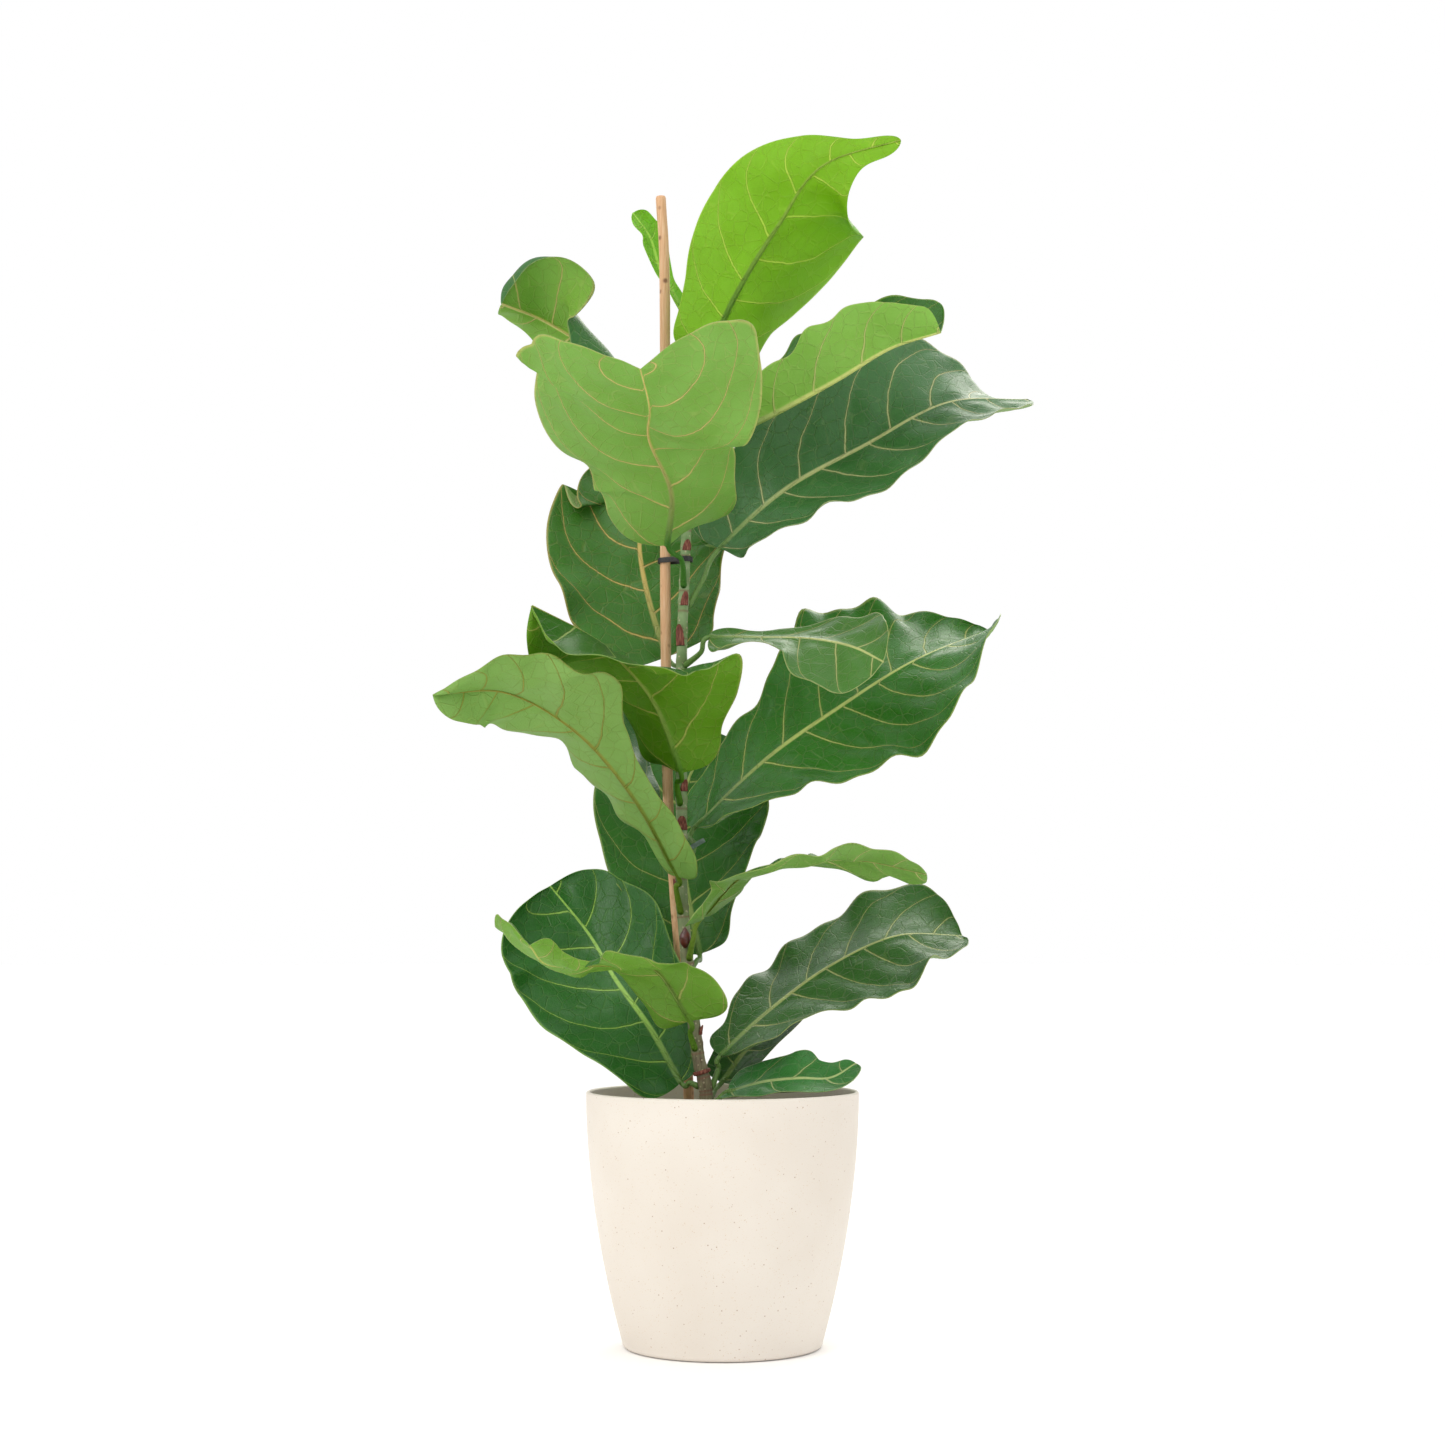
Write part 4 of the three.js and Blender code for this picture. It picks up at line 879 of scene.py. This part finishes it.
# ------------------------------------------------------------------------ scales and buds
# The sheath that covered each new leaf dries to a papery, pointed brown flake and stays on the
# stem for a while, standing off at its tip. A fat side bud sits low on the front of the stem.
scales = [
    dict(height=524, turn=-75, length=10, spread=100),
    dict(height=472, turn=-75, length=13, spread=90),
    dict(height=434, turn=-115, length=20, spread=110),
    dict(height=298, turn=-60, length=11, spread=90),
    dict(height=262, turn=-85, length=13, spread=120),
    dict(height=199, turn=-150, length=18, spread=80),
    dict(height=74, turn=-20, length=9, spread=80),
]
scale_thickness = 0.5 * mm
scale_peel = 2.2 * mm


def stem_at(height):
    """The stem's axis point, direction and radius at a height in millimetres above the soil."""
    rows = np.arange(len(stem_line))
    row = np.interp(height, stem_height, rows)
    point = np.stack([np.interp(row, rows, stem_line[:, k]) for k in range(3)], -1)
    rising = unit(np.gradient(stem_line, axis=0))[np.asarray(row).astype(int)]
    return point, rising, stem_root_radius + (stem_tip_radius - stem_root_radius) * row / len(rows)


def closed(piece):
    """Merges the points that lie on each other, where a surface's ends or poles meet."""
    shell = bmesh.new()
    shell.from_mesh(piece.data)
    bmesh.ops.remove_doubles(shell, verts=shell.verts, dist=1e-6)
    bmesh.ops.dissolve_degenerate(shell, edges=shell.edges, dist=1e-7)
    shell.to_mesh(piece.data)
    shell.free()
    piece.data.shade_smooth()
    return piece


def flake_grid(scale, rng):
    """Rings from the flake's seat to its point: outer face one way, inner face back.

    The half spread shrinks as the root of what is left, and the tip stands off by the square.
    """
    share = np.linspace(0, 1, 22)
    centre, _, radius = stem_at(scale["height"] + scale["length"] * share)
    inner = radius + 0.5 * mm + scale_peel * share ** 2
    half = np.radians(scale["spread"] / 2) * np.sqrt(1 - 0.985 * share)
    across = np.linspace(-1, 1, 17)
    wrinkle = 0.22 * mm * np.sin(9 * across[None] + 5 * share[:, None] + rng.uniform(0, 6))
    thick = scale_thickness * np.sin(np.pi * np.clip(share, 0, 1)) ** 0.5
    faces = []
    for sign, depth in ((1, thick), (-1, 0 * thick)):
        angle = np.radians(scale["turn"]) + half[:, None] * across[None] * sign
        out = (inner + depth)[:, None] + wrinkle[:, ::sign]
        way = np.stack([np.cos(angle), np.sin(angle), np.zeros_like(angle)], 2)
        faces.append(centre[:, None] + out[..., None] * way)
    return np.concatenate(faces, axis=1)


def dry_sheath():
    """Dried leaf sheath: papery and red-brown, with fine lengthwise fibres."""
    material, tree = new_material("dried_leaf_sheath")
    place = node(tree, "ShaderNodeTexCoord").node.outputs["Object"]
    stretched = node(tree, "ShaderNodeMapping", {"Vector": place, "Scale": (1.0, 1.0, 0.15)})
    fibres = node(tree, "ShaderNodeTexNoise", {"Vector": stretched, "Scale": 900.0, "Detail": 4.0})
    colour = node(tree, "ShaderNodeValToRGB", {0: fibres}, [
        (0.3, "#4F231C"), (0.5, "#7A3B2E"), (0.72, "#A8705A"),
    ])
    relief = node(tree, "ShaderNodeBump", {"Height": fibres, "Strength": 0.5, "Distance": 0.0004})
    shader = node(tree, "ShaderNodeBsdfPrincipled", {
        "Base Color": colour, "Roughness": 0.7, "Normal": relief,
    })
    node(tree, "ShaderNodeOutputMaterial", {"Surface": shader})
    return material


sheath = dry_sheath()
for number, scale in enumerate(scales, 1):
    grid = flake_grid(scale, np.random.default_rng(number))
    flake = closed(surface(f"dry_scale_{number}", grid, caps=(False, False)))
    fit(flake, f"scale_{number}", "dry_scale", sheath)


def bud_skin(name, dark, light, rough):
    """Bud scales: smooth, tight and waxy, darker and lighter in soft patches."""
    material, tree = new_material(name)
    place = node(tree, "ShaderNodeTexCoord").node.outputs["Object"]
    cloud = node(tree, "ShaderNodeTexNoise", {"Vector": place, "Scale": 160.0, "Detail": 4.0})
    colour = node(tree, "ShaderNodeValToRGB", {0: cloud}, [(0.35, dark), (0.68, light)])
    relief = node(tree, "ShaderNodeBump", {"Height": cloud, "Strength": 0.2, "Distance": 0.0005})
    shader = node(tree, "ShaderNodeBsdfPrincipled", {
        "Base Color": colour, "Roughness": rough, "Normal": relief,
        "Coat Weight": 0.3, "Coat Roughness": 0.2,
    })
    node(tree, "ShaderNodeOutputMaterial", {"Surface": shader})
    return material


def bud_grid(low, high, point, overlaps):
    """A closed bud between two corners: round sections whose width is a sine of the height.

    point pulls the top to a tip, and each overlap is a slanting step where a scale ends.
    """
    low, high = np.array(low), np.array(high)
    middle, size = (low + high) / 2, (high - low) / 2
    share = np.linspace(0, 1, 70)
    turn = np.linspace(0, 2 * np.pi, 56, endpoint=False)
    round_part = np.sin(np.pi * share) ** 0.7
    swell = round_part * (1 - point * share ** 2.2)
    swell = swell / swell.max()
    slant = share[:, None] * overlaps + 0.35 * np.cos(turn)[None]
    step = 1 - 0.07 * (slant % 1.0)
    x = middle[0] + size[0] * swell[:, None] * step * np.cos(turn)[None]
    y = middle[1] + size[1] * swell[:, None] * step * np.sin(turn)[None]
    z = np.broadcast_to((low[2] + (high[2] - low[2]) * share)[:, None], x.shape)
    return np.stack([x, y, z], 2)


side_bud = surface("side_bud_scales", bud_grid(*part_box("side_bud"), 0.5, 2.6))
fit(side_bud, "side_bud", "bud_skin", bud_skin("side_bud_wax", "#35130F", "#6B2C20", 0.32))
tip_bud = surface("growing_tip", bud_grid(*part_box("tip_bud"), 0.85, 1.6))
fit(tip_bud, "tip_bud", "leaf_bright", bud_skin("growing_tip_sheath", "#6F8F3A", "#A9BE62", 0.5))

# The scar of a shed leaf goes round the foot of the stem as a low rough collar.
scar_point, scar_rising, scar_radius = stem_at(40)
scar_turn = np.linspace(0, 2 * np.pi, 60, endpoint=False)
scar_side = unit(np.cross([0.0, 1.0, 0.0], scar_rising))
scar_front = np.cross(scar_rising, scar_side)
scar_round = np.linspace(0, 2 * np.pi, 25)
scar_width = 0.9 + 0.25 * np.sin(7 * scar_turn) + 0.15 * np.sin(17 * scar_turn)
scar_out = scar_radius + 1.3 * mm + 1.0 * mm * np.cos(scar_round)[:, None] * scar_width[None]
scar_up = -1.9 * mm * np.sin(scar_round)[:, None] * np.ones(60)
scar_way = scar_side * np.cos(scar_turn)[:, None] + scar_front * np.sin(scar_turn)[:, None]
scar_grid = scar_point + scar_out[..., None] * scar_way[None] + scar_up[..., None] * scar_rising
scar = closed(surface("leaf_scar_collar", scar_grid[::-1], caps=(False, False)))
fit(scar, "leaf_scar", "dry_scale", sheath)

# ----------------------------------------------------------------------------------- ties
# Two ties hold the stem to the cane: a narrow black polyamide band at the top, and lower down a
# flat garden tie of grey-green PVC over a wire, twisted shut with one end left standing out.
tie_clearance = 0.9 * mm
tie_wall = 1.3 * mm
cane_height = (cane_line[:, 2] - soil_level) / mm


def band_grid(height, tall, wall, core):
    """Rings of a rounded strip section, carried round the stem and the cane.

    The path is two half circles joined by straights. core is the height of a ridge in the
    middle of the outer face, where a wire runs.
    """
    stem_point, _, stem_here = stem_at(height)
    cane_point = np.array([np.interp(height, cane_height, cane_line[:, k]) for k in range(3)])
    apart = cane_point[:2] - stem_point[:2]
    far = np.linalg.norm(apart)
    turn = np.arctan2(apart[1], apart[0])
    inner = max(stem_here, cane_radius) + tie_clearance
    half = np.linspace(np.pi / 2, 1.5 * np.pi, 30)
    centres = np.r_[np.zeros(30), np.full(30, far)]
    angle = np.r_[half, half + np.pi]
    centres, angle = np.r_[centres, centres[0]], np.r_[angle, angle[0] + 2 * np.pi]
    s = np.linspace(0, 2 * np.pi, 28, endpoint=False)
    square = 0.5
    out = wall / 2 * np.sign(np.cos(s)) * np.abs(np.cos(s)) ** square
    rise = tall / 2 * np.sign(np.sin(s)) * np.abs(np.sin(s)) ** square
    out = out + core * np.where(np.cos(s) > 0, np.exp(-(rise / (0.16 * tall)) ** 2), 0)
    radius = inner + wall / 2 + out[None]
    x = centres[:, None] + radius * np.cos(angle)[:, None]
    y = radius * np.sin(angle)[:, None]
    z = np.broadcast_to(rise[None], x.shape)
    grid = np.stack([
        x * np.cos(turn) - y * np.sin(turn) + stem_point[0],
        x * np.sin(turn) + y * np.cos(turn) + stem_point[1],
        z + stem_point[2],
    ], 2)
    return grid[:, ::-1], stem_point, inner + wall


def moulded_band(name, dark, light, rough, scale):
    """Soft plastic strip: even colour with slight scuffs, satin, with a fine moulded grain."""
    material, tree = new_material(name)
    place = node(tree, "ShaderNodeTexCoord").node.outputs["Object"]
    scuff = node(tree, "ShaderNodeTexNoise", {"Vector": place, "Scale": scale, "Detail": 5.0})
    colour = node(tree, "ShaderNodeValToRGB", {0: scuff}, [(0.35, dark), (0.75, light)])
    relief = node(tree, "ShaderNodeBump", {"Height": scuff, "Strength": 0.2, "Distance": 0.0003})
    shader = node(tree, "ShaderNodeBsdfPrincipled", {
        "Base Color": colour, "Roughness": rough, "Normal": relief, "IOR": 1.5,
    })
    node(tree, "ShaderNodeOutputMaterial", {"Surface": shader})
    return material


clip_grid, _, _ = band_grid(516, 5 * mm, tie_wall, 0.0)
clip = closed(surface("cane_clip", clip_grid, caps=(False, False)))
fit(clip, "clip", "black_plastic", moulded_band("black_polyamide", "#121211", "#34332F", 0.42, 500.0))

tie_grid, tie_point, tie_outer = band_grid(240, 4.5 * mm, tie_wall, 0.35 * mm)
twist_tie = closed(surface("garden_tie", tie_grid, caps=(False, False)))
garden_pvc = moulded_band("grey_green_pvc", "#5C6F66", "#8C9C92", 0.5, 400.0)
fit(twist_tie, "twist_tie", "tie_plastic", garden_pvc)


def loose_end_grid(start, length, rise, outward):
    """A strip from the band to its free end: a rounded section carried along a slight bow."""
    along = np.array([np.cos(rise) * np.cos(outward), np.cos(rise) * np.sin(outward), np.sin(rise)])
    up = np.array([0.0, 0.0, 1.0])
    normal = unit(np.cross(along, up))
    tall = np.cross(normal, along)
    share = np.linspace(0, 1, 40)
    line = start + share[:, None] * length * along + (0.8 * mm * np.sin(np.pi * share))[:, None] * normal
    s = np.linspace(0, 2 * np.pi, 28, endpoint=False)
    out = tie_wall / 2 * np.sign(np.cos(s)) * np.abs(np.cos(s)) ** 0.5
    high = 2.25 * mm * np.sign(np.sin(s)) * np.abs(np.sin(s)) ** 0.5
    out = out + 0.35 * mm * np.sign(np.cos(s)) * np.exp(-(high / (0.7 * mm)) ** 2)
    return line[:, None] + out[None, :, None] * normal + high[None, :, None] * tall


loose_start = tie_point + np.array([0, tie_wall / 2 - tie_outer, 0])
loose_end = surface(
    "garden_tie_end",
    loose_end_grid(loose_start, 25.5 * mm, np.radians(30), np.radians(-12)),
)
fit(loose_end, "twist_tie", "tie_plastic", garden_pvc)

# ------------------------------------------------------------------------- floor and light
# A plain pale floor with soft daylight: a big window-like lamp from the left front, a weaker
# one from the right, and one behind and above that lights through the young leaves.


def plain_floor():
    """Matt white-painted floor, with a trace of mottle."""
    material, tree = new_material("pale_floor")
    place = node(tree, "ShaderNodeTexCoord").node.outputs["Object"]
    cloud = node(tree, "ShaderNodeTexNoise", {"Vector": place, "Scale": 2.0})
    colour = node(tree, "ShaderNodeValToRGB", {0: cloud}, [(0.3, "#FAF9F7"), (0.7, "#FCFBFA")])
    shader = node(tree, "ShaderNodeBsdfPrincipled", {"Base Color": colour, "Roughness": 0.9})
    node(tree, "ShaderNodeOutputMaterial", {"Surface": shader})
    return material


floor_radius = np.array([0.01, 1.0, 4.0, 40.0])
floor_grid = lathed(np.stack([floor_radius, np.full(4, -0.5 * mm)], 1)[::-1], 96)
floor = surface("floor", floor_grid, caps=(False, True))
floor.data.materials.append(plain_floor())

# The light is that of a white room under a large bright ceiling: strong from above, weaker from
# the sides and weakest from below. The room's walls are seen as plain white.
world = bpy.data.worlds.new("soft_daylight")
world.use_nodes = True
sky = world.node_tree
sky.nodes.clear()
direction = node(sky, "ShaderNodeTexCoord").node.outputs["Generated"]
height_share = node(sky, "ShaderNodeSeparateXYZ", {0: direction}).node.outputs["Z"]
ceiling = node(sky, "ShaderNodeMapRange", {0: height_share, 1: -0.2, 2: 0.9, 3: 0.42, 4: 1.3})
seen = node(sky, "ShaderNodeLightPath").node.outputs["Is Camera Ray"]
strength = node(sky, "ShaderNodeMix", {0: seen, 2: ceiling, 3: 1.0}, data_type="FLOAT")
daylight = node(sky, "ShaderNodeBackground", {"Color": "#FFFFFF", "Strength": strength})
node(sky, "ShaderNodeOutputWorld", {"Surface": daylight})
bpy.context.scene.world = world


def soft_lamp(name, place, target, size, watts, colour):
    """A square soft box at a place, turned to face a target."""
    lamp = bpy.data.lights.new(name, "AREA")
    lamp.size = size
    lamp.energy = watts
    lamp.color = linear(colour)[:3]
    holder = bpy.data.objects.new(name, lamp)
    holder.location = place
    away = np.array(target) - np.array(place)
    flat = np.hypot(away[0], away[1])
    holder.rotation_euler = (np.arctan2(flat, -away[2]), 0, np.arctan2(-away[0], away[1]))
    bpy.context.scene.collection.objects.link(holder)


plant_middle = (0.0, 0.0, 0.6)
soft_lamp("window", (-1.9, -2.3, 2.3), plant_middle, 2.0, 36.0, "#FFFDF8")
soft_lamp("fill", (2.6, -1.6, 1.2), plant_middle, 2.2, 6.0, "#F6F9FF")
soft_lamp("through", (0.7, 2.0, 2.4), plant_middle, 1.8, 30.0, "#FFFCF2")

eye = bpy.data.cameras.new("eye")
eye.lens = 58.43
eye.sensor_width = 36.0
camera = bpy.data.objects.new("eye", eye)
camera.location = (0.0, -2.1751, 0.3633)
camera.rotation_euler = (np.radians(95.389), 0.0, 0.0)
bpy.context.scene.collection.objects.link(camera)
bpy.context.scene.camera = camera
bpy.context.scene.view_settings.view_transform = "Standard"
